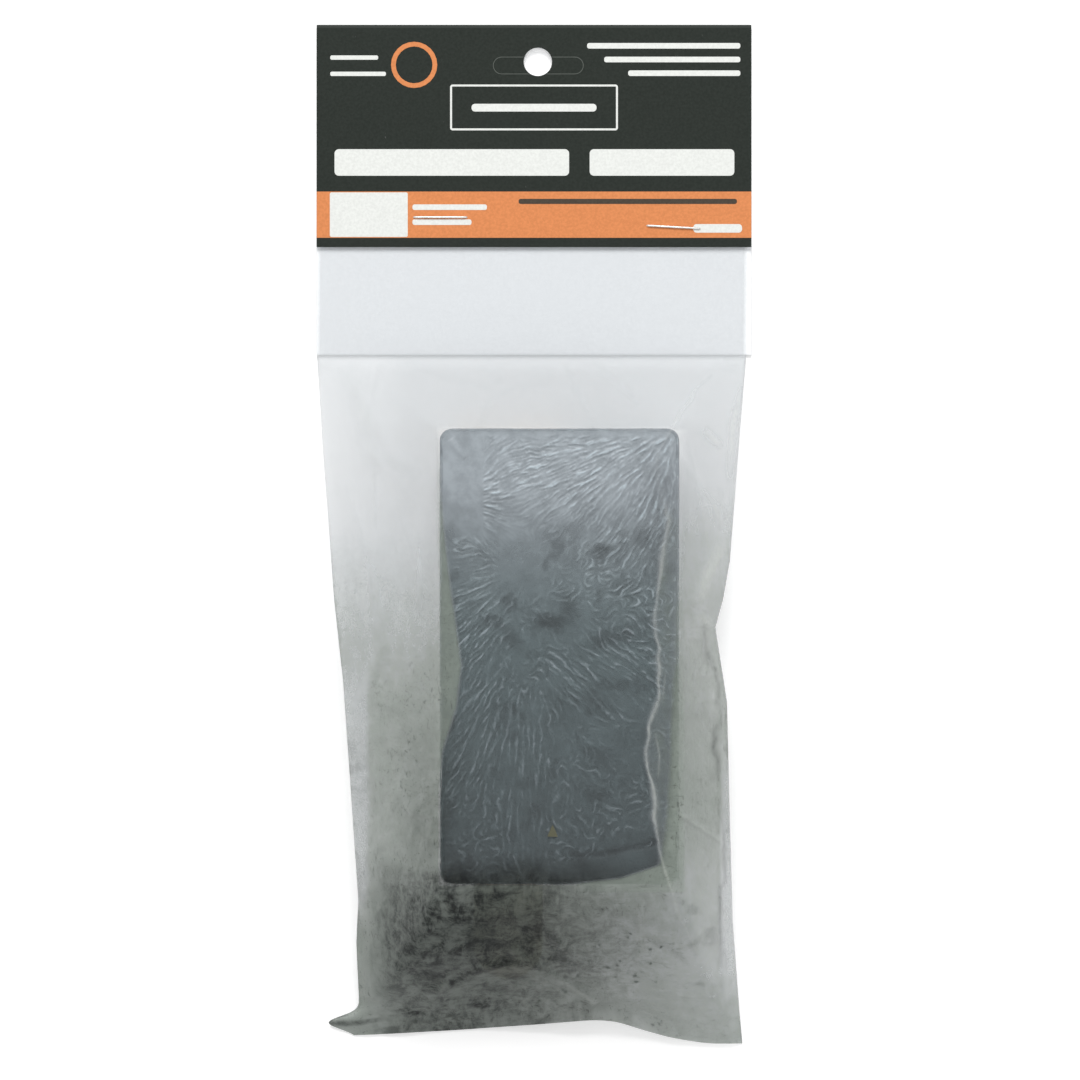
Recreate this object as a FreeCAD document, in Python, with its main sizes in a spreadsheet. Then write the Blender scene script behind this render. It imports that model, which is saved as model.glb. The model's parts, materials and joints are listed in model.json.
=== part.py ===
import FreeCAD, Part
import math
import os
import Sketcher

# A charcoal block packed for a peg hook.  The block is wrapped in thin film and lies, with a
# sandpaper paddle under it, in a clear bag.  A folded card is stapled over the neck of the bag.
#
# Frame, in millimetres: the pack lies on its back, +Z out of its front face, +Y from the
# bottom of the bag towards the card, +X to the right.  The origin is under the middle of
# the whole pack, on the surface that it lies on.

# Driving dimensions: alias, value, meaning
DIMENSIONS = [
    ("card_width", 101.6, "header card, side to side"),
    ("card_thick", 0.45, "header card stock"),
    ("front_panel", 52.0, "front panel of the card, fold to lower edge"),
    ("back_panel", 77.1, "back panel of the card, fold to lower edge"),
    ("card_top", 119.2, "Y of the card's fold"),
    ("hole_radius", 3.3, "hang hole"),
    ("hole_across", 0.9, "X of the hang hole"),
    ("hole_below_fold", 8.7, "hang hole centre below the fold"),
    ("film", 0.3, "one layer of bag film, drawn thicker than the real film"),
    ("neck_width", 100.4, "flattened neck of the bag"),
    ("neck_below_fold", 1.7, "top of the bag below the card's fold"),
    ("wire", 0.5, "staple wire diameter"),
    ("wire_bend", 0.5, "staple bend, at the middle of the wire"),
    ("staple_crown", 12.4, "staple, leg to leg"),
    ("staple_tip_gap", 3.4, "clear length between the two clinched tips"),
    ("left_staple_across", -21.9, "X of the left staple"),
    ("left_staple_along", 74.2, "Y of the left staple"),
    ("right_staple_across", 32.6, "X of the right staple"),
    ("right_staple_along", 71.9, "Y of the right staple"),
    ("right_staple_tilt", -3.1, "degrees, turn of the right staple"),
    ("block_width", 55.0, "charcoal block, side to side"),
    ("block_length", 105.2, "charcoal block, end to end"),
    ("block_depth", 25.4, "charcoal block, front to back, 1 in"),
    ("block_across", 5.9, "X of the block's middle"),
    ("block_along", -28.2, "Y of the block's middle"),
    ("block_corner", 3.0, "upright corners of the block"),
    ("block_edge", 0.9, "long edges of the block"),
    ("wrap_film", 0.2, "film wrapped on the block, drawn thicker than the real film"),
    ("wrap_gap", 0.05, "between the block and its film"),
    ("clearance", 0.3, "between pieces that slide past each other"),
    ("paddle_width", 25.4, "sandpaper paddle, 1 in"),
    ("paddle_length", 127.0, "paddle with its handle, 5 in"),
    ("paddle_thick", 2.4, "paddle board, 3/32 in"),
    ("paddle_across", -6.0, "X of the paddle's middle line"),
    ("paddle_top", 23.4, "Y of the paddle's square end"),
    ("paddle_corner", 1.0, "square end corners"),
    ("pad_length", 101.6, "board under the sandpaper, 4 in"),
    ("shoulder", 4.0, "taper from the board to the handle"),
    ("handle_width", 16.0, "paddle handle"),
    ("handle_round", 7.9, "round end of the handle"),
    ("sheet_thick", 0.22, "one sandpaper sheet"),
    ("sheet_width", 24.6, "sandpaper sheet"),
    ("sheet_length", 98.0, "sandpaper sheet"),
    ("sheet_inset", 0.6, "sheets below the paddle's square end"),
    ("paddle_staple_along", -71.6, "Y of the staple through the sheets"),
    ("neck_end", 42.1, "Y where the neck film ends, at the card's lower back edge"),
    ("pouch_start", 41.3, "Y where the loose part of the bag starts"),
    ("rim_top", 34.6, "Y of the full-depth section nearest the card"),
    ("waist", -22.0, "Y of the narrow section"),
    ("rim_low", -97.4, "Y of the full-depth section nearest the bottom"),
    ("foot", -110.5, "Y where the two films meet flat"),
    ("lip", 0.6, "width of the side weld"),
]

SHEET_COUNT = 12
CARD_BOTTOM = "Sizes.wire"
NECK_BOTTOM = f"({CARD_BOTTOM} + Sizes.card_thick)"
NECK_SEAM = f"({NECK_BOTTOM} + Sizes.film)"
NECK_TOP = f"({NECK_BOTTOM} + 2 * Sizes.film)"
CARD_FACE = f"({NECK_TOP} + Sizes.card_thick)"
FOLD_HEIGHT = "(2 * Sizes.card_thick + 2 * Sizes.film)"
PADDLE_BOTTOM = "(Sizes.film + Sizes.clearance + Sizes.wire)"
SHEETS_BOTTOM = f"({PADDLE_BOTTOM} + Sizes.paddle_thick)"
SHEETS_TOP = f"({SHEETS_BOTTOM} + {SHEET_COUNT} * Sizes.sheet_thick)"
WRAP_OFFSET = "(Sizes.wrap_film + Sizes.wrap_gap)"
BLOCK_BOTTOM = f"({SHEETS_TOP} + Sizes.wire + Sizes.clearance + {WRAP_OFFSET})"
BAG_INNER_TOP = f"({BLOCK_BOTTOM} + Sizes.block_depth + {WRAP_OFFSET} + Sizes.clearance)"
BAG_TOP = f"({BAG_INNER_TOP} + Sizes.film)"
SHOULDER_OUT = f"(Sizes.block_width / 2 + {WRAP_OFFSET} + Sizes.clearance)"

doc = FreeCAD.newDocument("charcoal_block_pack")
sizes = doc.addObject("Spreadsheet::Sheet", "Sizes")
for row, (alias, value, meaning) in enumerate(DIMENSIONS, start=1):
    sizes.set(f"A{row}", alias)
    sizes.set(f"B{row}", str(value))
    sizes.set(f"C{row}", meaning)
    sizes.setAlias(f"B{row}", alias)
doc.recompute()


def size(alias):
    """The value of one cell of the sheet."""
    return float(sizes.get(alias))


def value_of(expression):
    """The value of an expression written with the sheet's aliases."""
    return float(sizes.evalExpression(expression))


def new_body(label):
    """An empty body with its own label."""
    body = doc.addObject("PartDesign::Body", label)
    body.Label = label
    return body


def origin_plane(body, role):
    """One of a body's own origin planes."""
    return next(feature for feature in body.Origin.OriginFeatures if feature.Role == role)


def new_sketch(body, name, role, offset):
    """A sketch on an origin plane of its body, moved along the plane's normal by an expression."""
    sketch = body.newObject("Sketcher::SketchObject", name)
    sketch.AttachmentSupport = [(origin_plane(body, role), "")]
    sketch.MapMode = "FlatFace"
    sketch.setExpression("AttachmentOffset.Base.z", offset)
    return sketch


def pin_point(sketch, geometry, vertex, place):
    """Hold one vertex of a sketch at a place given by two expressions."""
    for kind, expression in zip(("DistanceX", "DistanceY"), place):
        distance = value_of(expression)
        index = sketch.addConstraint(
            Sketcher.Constraint(kind, -1, 1, geometry, vertex, distance)
        )
        sketch.setExpression(f"Constraints[{index}]", expression)


def polygon_sketch(body, name, role, offset, places):
    """A closed outline of straight lines through places given as pairs of expressions."""
    sketch = new_sketch(body, name, role, offset)
    corners = [FreeCAD.Vector(value_of(across), value_of(up), 0) for across, up in places]
    for start, end in zip(corners, corners[1:] + corners[:1]):
        sketch.addGeometry(Part.LineSegment(start, end), False)
    last = len(corners) - 1
    for index in range(len(corners)):
        following = 0 if index == last else index + 1
        sketch.addConstraint(Sketcher.Constraint("Coincident", index, 2, following, 1))
        pin_point(sketch, index, 1, places[index])
    return sketch


def circle_sketch(body, name, role, offset, centre, radius):
    """A circle with its centre and radius given by expressions."""
    sketch = new_sketch(body, name, role, offset)
    middle = FreeCAD.Vector(value_of(centre[0]), value_of(centre[1]), 0)
    circle = Part.Circle(middle, FreeCAD.Vector(0, 0, 1), value_of(radius))
    sketch.addGeometry(circle, False)
    pin_point(sketch, 0, 3, centre)
    index = sketch.addConstraint(Sketcher.Constraint("Radius", 0, value_of(radius)))
    sketch.setExpression(f"Constraints[{index}]", radius)
    return sketch


def pad(body, name, sketch, length, both_ways=False):
    """Extrude a sketch along its normal, or half each way."""
    feature = body.newObject("PartDesign::Pad", name)
    feature.Profile = sketch
    feature.Midplane = both_ways
    feature.setExpression("Length", length)
    doc.recompute()
    return feature


def punch(body, name, sketch):
    """Cut a sketch right through its body, both ways."""
    before = body.Shape.Volume
    feature = body.newObject("PartDesign::Pocket", name)
    feature.Profile = sketch
    feature.Type = "ThroughAll"
    feature.Midplane = True
    doc.recompute()
    if body.Shape.Volume >= before:
        raise RuntimeError(f"{name} removed nothing")
    return feature


def edges_where(shape, test):
    """The names of the straight edges whose middle point and direction pass a test."""
    names = []
    for index, edge in enumerate(shape.Edges, start=1):
        if isinstance(edge.Curve, Part.Line):
            middle = (edge.Vertexes[0].Point + edge.Vertexes[-1].Point) / 2
            if test(middle, edge.Curve.Direction):
                names.append(f"Edge{index}")
    return names


def round_edges(body, name, base, radius, test):
    """Fillet the straight edges of a feature that pass a test."""
    feature = body.newObject("PartDesign::Fillet", name)
    feature.Base = (base, edges_where(base.Shape, test))
    feature.setExpression("Radius", radius)
    doc.recompute()
    return feature


def rectangle(left, right, low, high):
    """The four corners of a rectangle, as expressions."""
    return [(left, low), (right, low), (right, high), (left, high)]


def centred_box(label, across, along, width, length, bottom, height):
    """A padded rectangle, centred at a place and standing on a level, all by expressions."""
    body = new_body(label)
    corners = rectangle(
        f"{across} - {width} / 2",
        f"{across} + {width} / 2",
        f"{along} - {length} / 2",
        f"{along} + {length} / 2",
    )
    outline = polygon_sketch(body, f"{label}_outline", "XY_Plane", bottom, corners)
    return body, pad(body, f"{label}_pad", outline, height)


def upright(middle, direction):
    """True for an edge along Z."""
    return abs(direction.z) > 0.99


def level(middle, direction):
    """True for an edge square to Z."""
    return abs(direction.z) < 0.01


# ---- header card ------------------------------------------------------------------------

def header_card():
    """One strip of card, folded over the neck of the bag, with a punched hang hole."""
    body = new_body("header_card")
    top = "Sizes.card_top"
    inner_top = f"({top} - Sizes.card_thick)"
    front_edge = f"({top} - Sizes.front_panel)"
    back_edge = f"({top} - Sizes.back_panel)"
    profile = polygon_sketch(body, "card_profile", "YZ_Plane", "0", [
        (back_edge, CARD_BOTTOM),
        (top, CARD_BOTTOM),
        (top, CARD_FACE),
        (front_edge, CARD_FACE),
        (front_edge, NECK_TOP),
        (inner_top, NECK_TOP),
        (inner_top, NECK_BOTTOM),
        (back_edge, NECK_BOTTOM),
    ])
    strip = pad(body, "card_strip", profile, "Sizes.card_width", both_ways=True)
    fold_y = value_of(top)
    inner_y = value_of(inner_top)
    outer = round_edges(
        body, "fold_outside", strip, f"0.49 * {FOLD_HEIGHT}",
        lambda middle, direction: abs(direction.x) > 0.99 and abs(middle.y - fold_y) < 0.01,
    )
    round_edges(
        body, "fold_inside", outer, "0.96 * Sizes.film",
        lambda middle, direction: abs(direction.x) > 0.99 and abs(middle.y - inner_y) < 0.01,
    )
    hang_hole(body)
    return body


def hang_hole(body):
    """The round hole that a peg hook goes through."""
    centre = ("Sizes.hole_across", "Sizes.card_top - Sizes.hole_below_fold")
    circle = circle_sketch(
        body, f"{body.Label}_hole", "XY_Plane", CARD_BOTTOM, centre, "Sizes.hole_radius"
    )
    punch(body, f"{body.Label}_punch", circle)


def staple_shape(crown, height, tip_gap):
    """A closed staple in the XZ plane: crown on top, two legs, both tips bent inwards."""
    bend = size("wire_bend")
    half = crown / 2
    tip = tip_gap / 2
    top = height - bend
    corners = ((-half, -1, 0), (-half, 1, height), (half, 1, height), (half, -1, 0))
    arcs = []
    for side, vertical, z in corners:
        inward = -math.copysign(1, side)
        start = FreeCAD.Vector(side + inward * bend, 0, z)
        end = FreeCAD.Vector(side, 0, z - vertical * bend)
        lean = bend * (1 - math.sqrt(0.5))
        middle = FreeCAD.Vector(side + inward * lean, 0, z - vertical * lean)
        arcs.append((start, middle, end))
    left_foot, left_head, right_head, right_foot = arcs
    path = Part.Wire([
        Part.LineSegment(FreeCAD.Vector(-tip, 0, 0), left_foot[0]).toShape(),
        Part.Arc(*left_foot).toShape(),
        Part.LineSegment(left_foot[2], FreeCAD.Vector(-half, 0, top)).toShape(),
        Part.Arc(*reversed(left_head)).toShape(),
        Part.LineSegment(left_head[0], right_head[0]).toShape(),
        Part.Arc(*right_head).toShape(),
        Part.LineSegment(FreeCAD.Vector(half, 0, top), right_foot[2]).toShape(),
        Part.Arc(*reversed(right_foot)).toShape(),
        Part.LineSegment(right_foot[0], FreeCAD.Vector(tip, 0, 0)).toShape(),
    ])
    circle = Part.Circle(
        FreeCAD.Vector(-tip, 0, 0), FreeCAD.Vector(1, 0, 0), size("wire") / 2
    )
    return path.makePipeShell([Part.Wire([circle.toShape()])], True, False)


def header_staples():
    """Two alike staples through the card and the neck of the bag."""
    height = value_of(f"{FOLD_HEIGHT} + Sizes.wire")
    staple = staple_shape(size("staple_crown"), height, size("staple_tip_gap"))
    placed = []
    for side, tilt in (("left", 0.0), ("right", size("right_staple_tilt"))):
        place = FreeCAD.Vector(
            size(f"{side}_staple_across"), size(f"{side}_staple_along"), size("wire") / 2
        )
        turn = FreeCAD.Rotation(FreeCAD.Vector(0, 0, 1), tilt)
        one = staple.copy()
        one.Placement = FreeCAD.Placement(place, turn)
        placed.append(one)
    return solid_feature("header_staples", Part.makeCompound(placed))


def solid_feature(label, shape):
    """A document object that holds a shape made by Part's own functions."""
    feature = doc.addObject("Part::Feature", label)
    feature.Label = label
    feature.Shape = shape
    return feature


# ---- bag ------------------------------------------------------------------------------------

def bag_neck_film():
    """The flattened neck of the bag, two layers, held between the card's panels."""
    length = "(Sizes.card_top - Sizes.neck_below_fold - Sizes.neck_end)"
    along = f"(Sizes.neck_end + {length} / 2)"
    body, _ = centred_box(
        "bag_neck_film", "0", along, "Sizes.neck_width", length, NECK_BOTTOM, "2 * Sizes.film"
    )
    hang_hole(body)
    return body


# Sections of the loose bag from the neck to the foot: Y, left side, right side, height of the
# side weld, top level, bottom level, and the left and right ends of the flat bottom.
BAG_SECTIONS = [
    ("Sizes.pouch_start", "-50.2", "50.2", NECK_SEAM, NECK_TOP, NECK_BOTTOM, "-25", "36"),
    ("Sizes.rim_top", "-49.9", "48.8", "10", BAG_TOP, "0", "-25", "36"),
    ("Sizes.waist", "-46", "42.6", "14", BAG_TOP, "0", "-25", "36"),
    ("Sizes.rim_low", "-41.4", "46.4", "12", BAG_TOP, "0", "-34", "38"),
    ("Sizes.foot", "-41.2", "48.3", "Sizes.film", "2 * Sizes.film", "0", "-34", "38"),
]
SHOULDER_LEFT = f"(Sizes.block_across - {SHOULDER_OUT})"
SHOULDER_RIGHT = f"(Sizes.block_across + {SHOULDER_OUT})"


def front_section(left, right, weld, top, bottom, flat_left, flat_right):
    """Section of the front film: up from each side weld to the block's front edges."""
    inner_top = f"({top} - Sizes.film)"
    return [
        (left, weld),
        (left, f"{weld} + Sizes.film"),
        (f"{SHOULDER_LEFT} - Sizes.film / 2", top),
        (f"{SHOULDER_RIGHT} + Sizes.film / 2", top),
        (right, f"{weld} + Sizes.film"),
        (right, weld),
        (f"{right} - Sizes.lip", weld),
        (SHOULDER_RIGHT, inner_top),
        (SHOULDER_LEFT, inner_top),
        (f"{left} + Sizes.lip", weld),
    ]


def back_section(left, right, weld, top, bottom, flat_left, flat_right):
    """Section of the back film: flat where the pack rests, and up to each side weld."""
    inner_bottom = f"({bottom} + Sizes.film)"
    return [
        (left, weld),
        (left, f"{weld} - Sizes.film"),
        (flat_left, bottom),
        (flat_right, bottom),
        (right, f"{weld} - Sizes.film"),
        (right, weld),
        (f"{right} - Sizes.lip", weld),
        (f"{flat_right} - Sizes.film / 2", inner_bottom),
        (f"{flat_left} + Sizes.film / 2", inner_bottom),
        (f"{left} + Sizes.lip", weld),
    ]


def bag_film(label, section):
    """One web of the bag, lofted through its sections."""
    body = new_body(label)
    sketches = []
    for number, (along, *levels) in enumerate(BAG_SECTIONS, start=1):
        name = f"{label}_section_{number}"
        sketch = polygon_sketch(body, name, "XZ_Plane", f"-1 * {along}", section(*levels))
        sketches.append(sketch)
    loft = body.newObject("PartDesign::AdditiveLoft", f"{label}_loft")
    loft.Profile = sketches[0]
    loft.Sections = sketches[1:]
    loft.Ruled = True
    doc.recompute()
    return body


# The flat welded foot of the bag, seen from the front: it dips to a pointed ear on the left
# and droops on the right.
FOOT_OUTLINE = [
    ("-41.2", "Sizes.foot"),
    ("-44.4", "-112.2"),
    ("-48", "-113.9"),
    ("-45.8", "-115.7"),
    ("-42.3", "-116"),
    ("-38.3", "-117.3"),
    ("-17.3", "-115.6"),
    ("1.4", "-114.2"),
    ("17.5", "-113.6"),
    ("25", "-115.2"),
    ("33.2", "-117.7"),
    ("45.4", "-Sizes.card_top"),
    ("48.6", "-118.4"),
    ("48.3", "Sizes.foot"),
]


def bag_bottom_seal():
    """The welded foot of the bag, both layers as one."""
    body = new_body("bag_bottom_seal")
    outline = polygon_sketch(body, "foot_outline", "XY_Plane", "0", FOOT_OUTLINE)
    pad(body, "foot_pad", outline, "2 * Sizes.film")
    return body


# ---- charcoal -------------------------------------------------------------------------------

def charcoal_block():
    """The block: a brick with worn upright corners and softened edges."""
    body, brick = centred_box(
        "charcoal_block", "Sizes.block_across", "Sizes.block_along",
        "Sizes.block_width", "Sizes.block_length", BLOCK_BOTTOM, "Sizes.block_depth",
    )
    corners = round_edges(body, "block_corners", brick, "Sizes.block_corner", upright)
    round_edges(body, "block_edges", corners, "Sizes.block_edge", level)
    return body


def wrap_layer(label, offset):
    """The block's shape grown by an offset on every side."""
    body, brick = centred_box(
        label, "Sizes.block_across", "Sizes.block_along",
        f"(Sizes.block_width + 2 * {offset})", f"(Sizes.block_length + 2 * {offset})",
        f"{BLOCK_BOTTOM} - {offset}", f"Sizes.block_depth + 2 * {offset}",
    )
    corners = round_edges(body, f"{label}_corners", brick, f"Sizes.block_corner + {offset}", upright)
    round_edges(body, f"{label}_edges", corners, f"Sizes.block_edge + {offset}", level)
    return body


def block_wrap():
    """The film wrapped closely round the whole block."""
    outside = wrap_layer("wrap_outside", WRAP_OFFSET)
    inside = wrap_layer("wrap_inside", "Sizes.wrap_gap")
    skin = doc.addObject("Part::Cut", "block_wrap")
    skin.Label = "block_wrap"
    skin.Base = outside
    skin.Tool = inside
    return skin


# Two drifts of loose crumbs in the foot of the bag, one each side of the paddle's handle:
# X and Y of the middle, radius, and how many crumbs.
CRUMB_DRIFTS = [(-25.0, -99.0, 7.0, 10), (22.0, -98.0, 9.5, 12)]
GOLDEN_TURN = math.pi * (3 - math.sqrt(5))
CRUMB_SIZES = (1.3, 0.8, 1.0, 0.6, 1.1)


def charcoal_crumbs():
    """Loose lumps that have come off the block, spread evenly through each drift."""
    lumps = []
    for across, along, radius, count in CRUMB_DRIFTS:
        for index in range(count):
            reach = radius * math.sqrt((index + 0.5) / count)
            turn = index * GOLDEN_TURN
            half = CRUMB_SIZES[index % len(CRUMB_SIZES)]
            lump = doc.addObject("Part::Ellipsoid", f"crumb_{len(lumps) + 1}")
            lump.Radius1 = 0.6 * half
            lump.Radius2 = half
            lump.Radius3 = 0.75 * half
            lump.Placement = FreeCAD.Placement(
                FreeCAD.Vector(
                    across + reach * math.cos(turn),
                    along + reach * math.sin(turn),
                    size("film") + 0.1 + 0.6 * half,
                ),
                FreeCAD.Rotation(FreeCAD.Vector(0, 0, 1), math.degrees(turn)),
            )
            lumps.append(lump)
    group = doc.addObject("Part::Compound", "charcoal_crumbs")
    group.Label = "charcoal_crumbs"
    group.Links = lumps
    return group


# ---- sandpaper paddle -----------------------------------------------------------------------

def paddle_board():
    """A thin wooden board with shoulders and a round-ended handle."""
    body = new_body("paddle_board")
    across = "Sizes.paddle_across"
    top = "Sizes.paddle_top"
    end = f"({top} - Sizes.paddle_length)"
    pad_end = f"({top} - Sizes.pad_length + Sizes.shoulder)"
    handle_start = f"({top} - Sizes.pad_length)"
    left, right = f"({across} - Sizes.paddle_width / 2)", f"({across} + Sizes.paddle_width / 2)"
    slim_left = f"({across} - Sizes.handle_width / 2)"
    slim_right = f"({across} + Sizes.handle_width / 2)"
    outline = polygon_sketch(body, "paddle_outline", "XY_Plane", PADDLE_BOTTOM, [
        (left, top),
        (left, pad_end),
        (slim_left, handle_start),
        (slim_left, end),
        (slim_right, end),
        (slim_right, handle_start),
        (right, pad_end),
        (right, top),
    ])
    board = pad(body, "paddle_pad", outline, "Sizes.paddle_thick")
    end_y = value_of(end)
    top_y = value_of(top)
    handle = round_edges(
        body, "handle_end", board, "Sizes.handle_round",
        lambda middle, direction: upright(middle, direction) and abs(middle.y - end_y) < 0.01,
    )
    round_edges(
        body, "square_end", handle, "Sizes.paddle_corner",
        lambda middle, direction: upright(middle, direction) and abs(middle.y - top_y) < 0.01,
    )
    return body


def sandpaper_sheet(number):
    """One tear-off sheet of the pad, counted from the board upwards."""
    along = "(Sizes.paddle_top - Sizes.sheet_inset - Sizes.sheet_length / 2)"
    body, _ = centred_box(
        f"sandpaper_sheet_{number:02d}", "Sizes.paddle_across", along,
        "Sizes.sheet_width", "Sizes.sheet_length",
        f"{SHEETS_BOTTOM} + {number - 1} * Sizes.sheet_thick", "Sizes.sheet_thick",
    )
    return body


def paddle_staple():
    """The staple that holds the sheets on the board."""
    stack = value_of(f"Sizes.paddle_thick + {SHEET_COUNT} * Sizes.sheet_thick + Sizes.wire")
    shape = staple_shape(size("staple_crown"), stack, size("staple_tip_gap"))
    feature = solid_feature("paddle_staple", shape)
    middle = value_of(f"{PADDLE_BOTTOM} - Sizes.wire / 2")
    feature.Placement.Base = FreeCAD.Vector(
        size("paddle_across"), size("paddle_staple_along"), middle
    )
    return feature


parts = [
    header_card(),
    header_staples(),
    bag_neck_film(),
    bag_film("bag_front_film", front_section),
    bag_film("bag_back_film", back_section),
    bag_bottom_seal(),
    charcoal_crumbs(),
    charcoal_block(),
    block_wrap(),
    paddle_board(),
    paddle_staple(),
]
for number in range(1, SHEET_COUNT + 1):
    parts.append(sandpaper_sheet(number))

doc.recompute()
for item in doc.Objects:
    if "Invalid" in item.State or "Error" in item.State:
        raise RuntimeError(f"{item.Label} failed: {item.State}")
for part in parts:
    if part.Shape.isNull() or not part.Shape.isValid() or not part.Shape.Solids:
        raise RuntimeError(f"{part.Label} has no valid solid")

os.makedirs("parts", exist_ok=True)
for part in parts:
    part.Shape.exportStep(os.path.join("parts", f"{part.Label}.step"))
    box = part.Shape.BoundBox
    print(
        f"{part.Label}: {len(part.Shape.Solids)} solid(s), {part.Shape.Volume:.1f} mm3, "
        f"X {box.XMin:.2f}..{box.XMax:.2f}, Y {box.YMin:.2f}..{box.YMax:.2f}, "
        f"Z {box.ZMin:.2f}..{box.ZMax:.2f}"
    )
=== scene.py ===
import json
import math

import bmesh
import bpy
import numpy as np
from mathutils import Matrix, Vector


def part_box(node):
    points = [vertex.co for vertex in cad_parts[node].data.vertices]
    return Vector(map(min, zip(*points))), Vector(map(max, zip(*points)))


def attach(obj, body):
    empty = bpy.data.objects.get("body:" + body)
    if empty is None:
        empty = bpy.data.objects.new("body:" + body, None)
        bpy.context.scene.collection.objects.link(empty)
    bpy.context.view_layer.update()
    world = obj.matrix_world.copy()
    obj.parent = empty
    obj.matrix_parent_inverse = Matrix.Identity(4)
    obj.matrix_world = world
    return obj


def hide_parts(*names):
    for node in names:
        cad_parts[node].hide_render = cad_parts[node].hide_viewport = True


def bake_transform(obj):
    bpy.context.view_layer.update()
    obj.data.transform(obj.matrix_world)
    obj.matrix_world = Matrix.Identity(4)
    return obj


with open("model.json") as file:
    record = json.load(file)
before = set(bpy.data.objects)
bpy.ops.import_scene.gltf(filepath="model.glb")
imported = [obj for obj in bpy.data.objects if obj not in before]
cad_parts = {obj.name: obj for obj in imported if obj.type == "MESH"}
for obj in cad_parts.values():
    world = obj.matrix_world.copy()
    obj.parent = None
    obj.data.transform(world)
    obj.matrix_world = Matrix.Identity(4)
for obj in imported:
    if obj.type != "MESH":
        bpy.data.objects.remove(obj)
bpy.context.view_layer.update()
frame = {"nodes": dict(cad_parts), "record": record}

# A charcoal block wrapped in thin film, with a sandpaper paddle under it, in a dusty clear bag
# with a folded header card.  Lengths below are in millimetres, in the frame's own axes, and
# become metres when a mesh is made.
MM = 0.001


def span(node):
    """A node's lowest and highest corners in millimetres."""
    low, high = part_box(node)
    return np.array(low) / MM, np.array(high) / MM


CARD_LOW, CARD_HIGH = span("header_card")
BLOCK_LOW, BLOCK_HIGH = span("charcoal_block")
WRAP_LOW, WRAP_HIGH = span("block_wrap")
NECK_HIGH = span("bag_neck_film")[1]
POUCH_HIGH = span("bag_front_film")[1]
FOOT_LOW = span("bag_bottom_seal")[0]
HOLE = next(m for m in frame["record"]["mounts"] if m["name"] == "hang_hole")


# ---- camera, lights and floor ---------------------------------------------------------------

VIEW_WIDTH = 252.5
VIEW_CENTRE = (1.4, -1.2)
CAMERA_HEIGHT = 2500.0


def make_camera():
    """Straight above the pack, far enough away to look almost without perspective."""
    camera = bpy.data.cameras.new("camera")
    camera.sensor_width = 36.0
    camera.lens = camera.sensor_width * CAMERA_HEIGHT / VIEW_WIDTH
    camera.clip_end = 10.0
    eye = bpy.data.objects.new("camera", camera)
    eye.location = (VIEW_CENTRE[0] * MM, VIEW_CENTRE[1] * MM, CAMERA_HEIGHT * MM)
    bpy.context.collection.objects.link(eye)
    bpy.context.scene.camera = eye


def make_light(name, place, size, power):
    """A square soft light that points at the pack."""
    lamp = bpy.data.lights.new(name, "AREA")
    lamp.size = size
    lamp.energy = power
    light = bpy.data.objects.new(name, lamp)
    light.location = place
    light.rotation_euler = (-light.location).to_track_quat("-Z", "Y").to_euler()
    bpy.context.collection.objects.link(light)


def make_studio():
    """Pale floor, pale surroundings and soft lights, the main one beyond the card."""
    bpy.context.scene.view_settings.view_transform = "Standard"
    world = bpy.data.worlds.new("studio")
    world.use_nodes = True
    background = world.node_tree.nodes["Background"]
    background.inputs["Color"].default_value = (1.0, 1.0, 1.0, 1.0)
    background.inputs["Strength"].default_value = 0.52
    bpy.context.scene.world = world
    make_light("key", (-0.10, 1.20, 1.25), 0.8, 22.0)
    make_light("fill", (0.9, -0.6, 1.5), 1.2, 3.5)
    bpy.ops.mesh.primitive_plane_add(size=40.0, location=(0, 0, 0))
    floor = bpy.context.object
    floor.name = "floor"
    material = bpy.data.materials.new("floor")
    material.use_nodes = True
    shader = material.node_tree.nodes["Principled BSDF"]
    shader.inputs["Base Color"].default_value = (0.92, 0.92, 0.92, 1)
    shader.inputs["Roughness"].default_value = 0.9
    shader.inputs["Specular IOR Level"].default_value = 0.1
    shader.inputs["Emission Color"].default_value = (1, 1, 1, 1)
    shader.inputs["Emission Strength"].default_value = 0.29
    floor.data.materials.append(material)


make_camera()
make_studio()


# ---- noise and shape helpers ----------------------------------------------------------------

def lattice_noise(x, y, cell, seed):
    """Smooth noise from 0 to 1 whose bumps are about one cell across."""
    table = np.random.default_rng(seed).random((64, 64))
    across, along = x / cell, y / cell
    column, row = np.floor(across).astype(int), np.floor(along).astype(int)
    fx, fy = across - column, along - row
    fx = fx * fx * (3 - 2 * fx)
    fy = fy * fy * (3 - 2 * fy)

    def corner(i, j):
        return table[(column + i) % 64, (row + j) % 64]

    low = corner(0, 0) * (1 - fx) + corner(1, 0) * fx
    high = corner(0, 1) * (1 - fx) + corner(1, 1) * fx
    return low * (1 - fy) + high * fy


def layered_noise(x, y, cell, seed, layers=3):
    """Several octaves of lattice noise, from 0 to 1."""
    total = sum(
        lattice_noise(x, y, cell / 2 ** layer, seed + layer) / 2 ** layer
        for layer in range(layers)
    )
    return total / sum(1 / 2 ** layer for layer in range(layers))


def ramp(value, start, end):
    """0 before start, 1 after end, smooth between; start may be the larger."""
    t = np.clip((value - start) / (end - start), 0, 1)
    return t * t * (3 - 2 * t)


def spot(x, y, centre_x, centre_y, reach_x, reach_y):
    """A round soft spot, 1 in the middle."""
    return np.exp(-(((x - centre_x) / reach_x) ** 2 + ((y - centre_y) / reach_y) ** 2))


def follow(places, value):
    """Read a list of (position, value) pairs, in falling order of position, at any position."""
    positions, values = zip(*reversed(places))
    return np.interp(value, positions, values)


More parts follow.
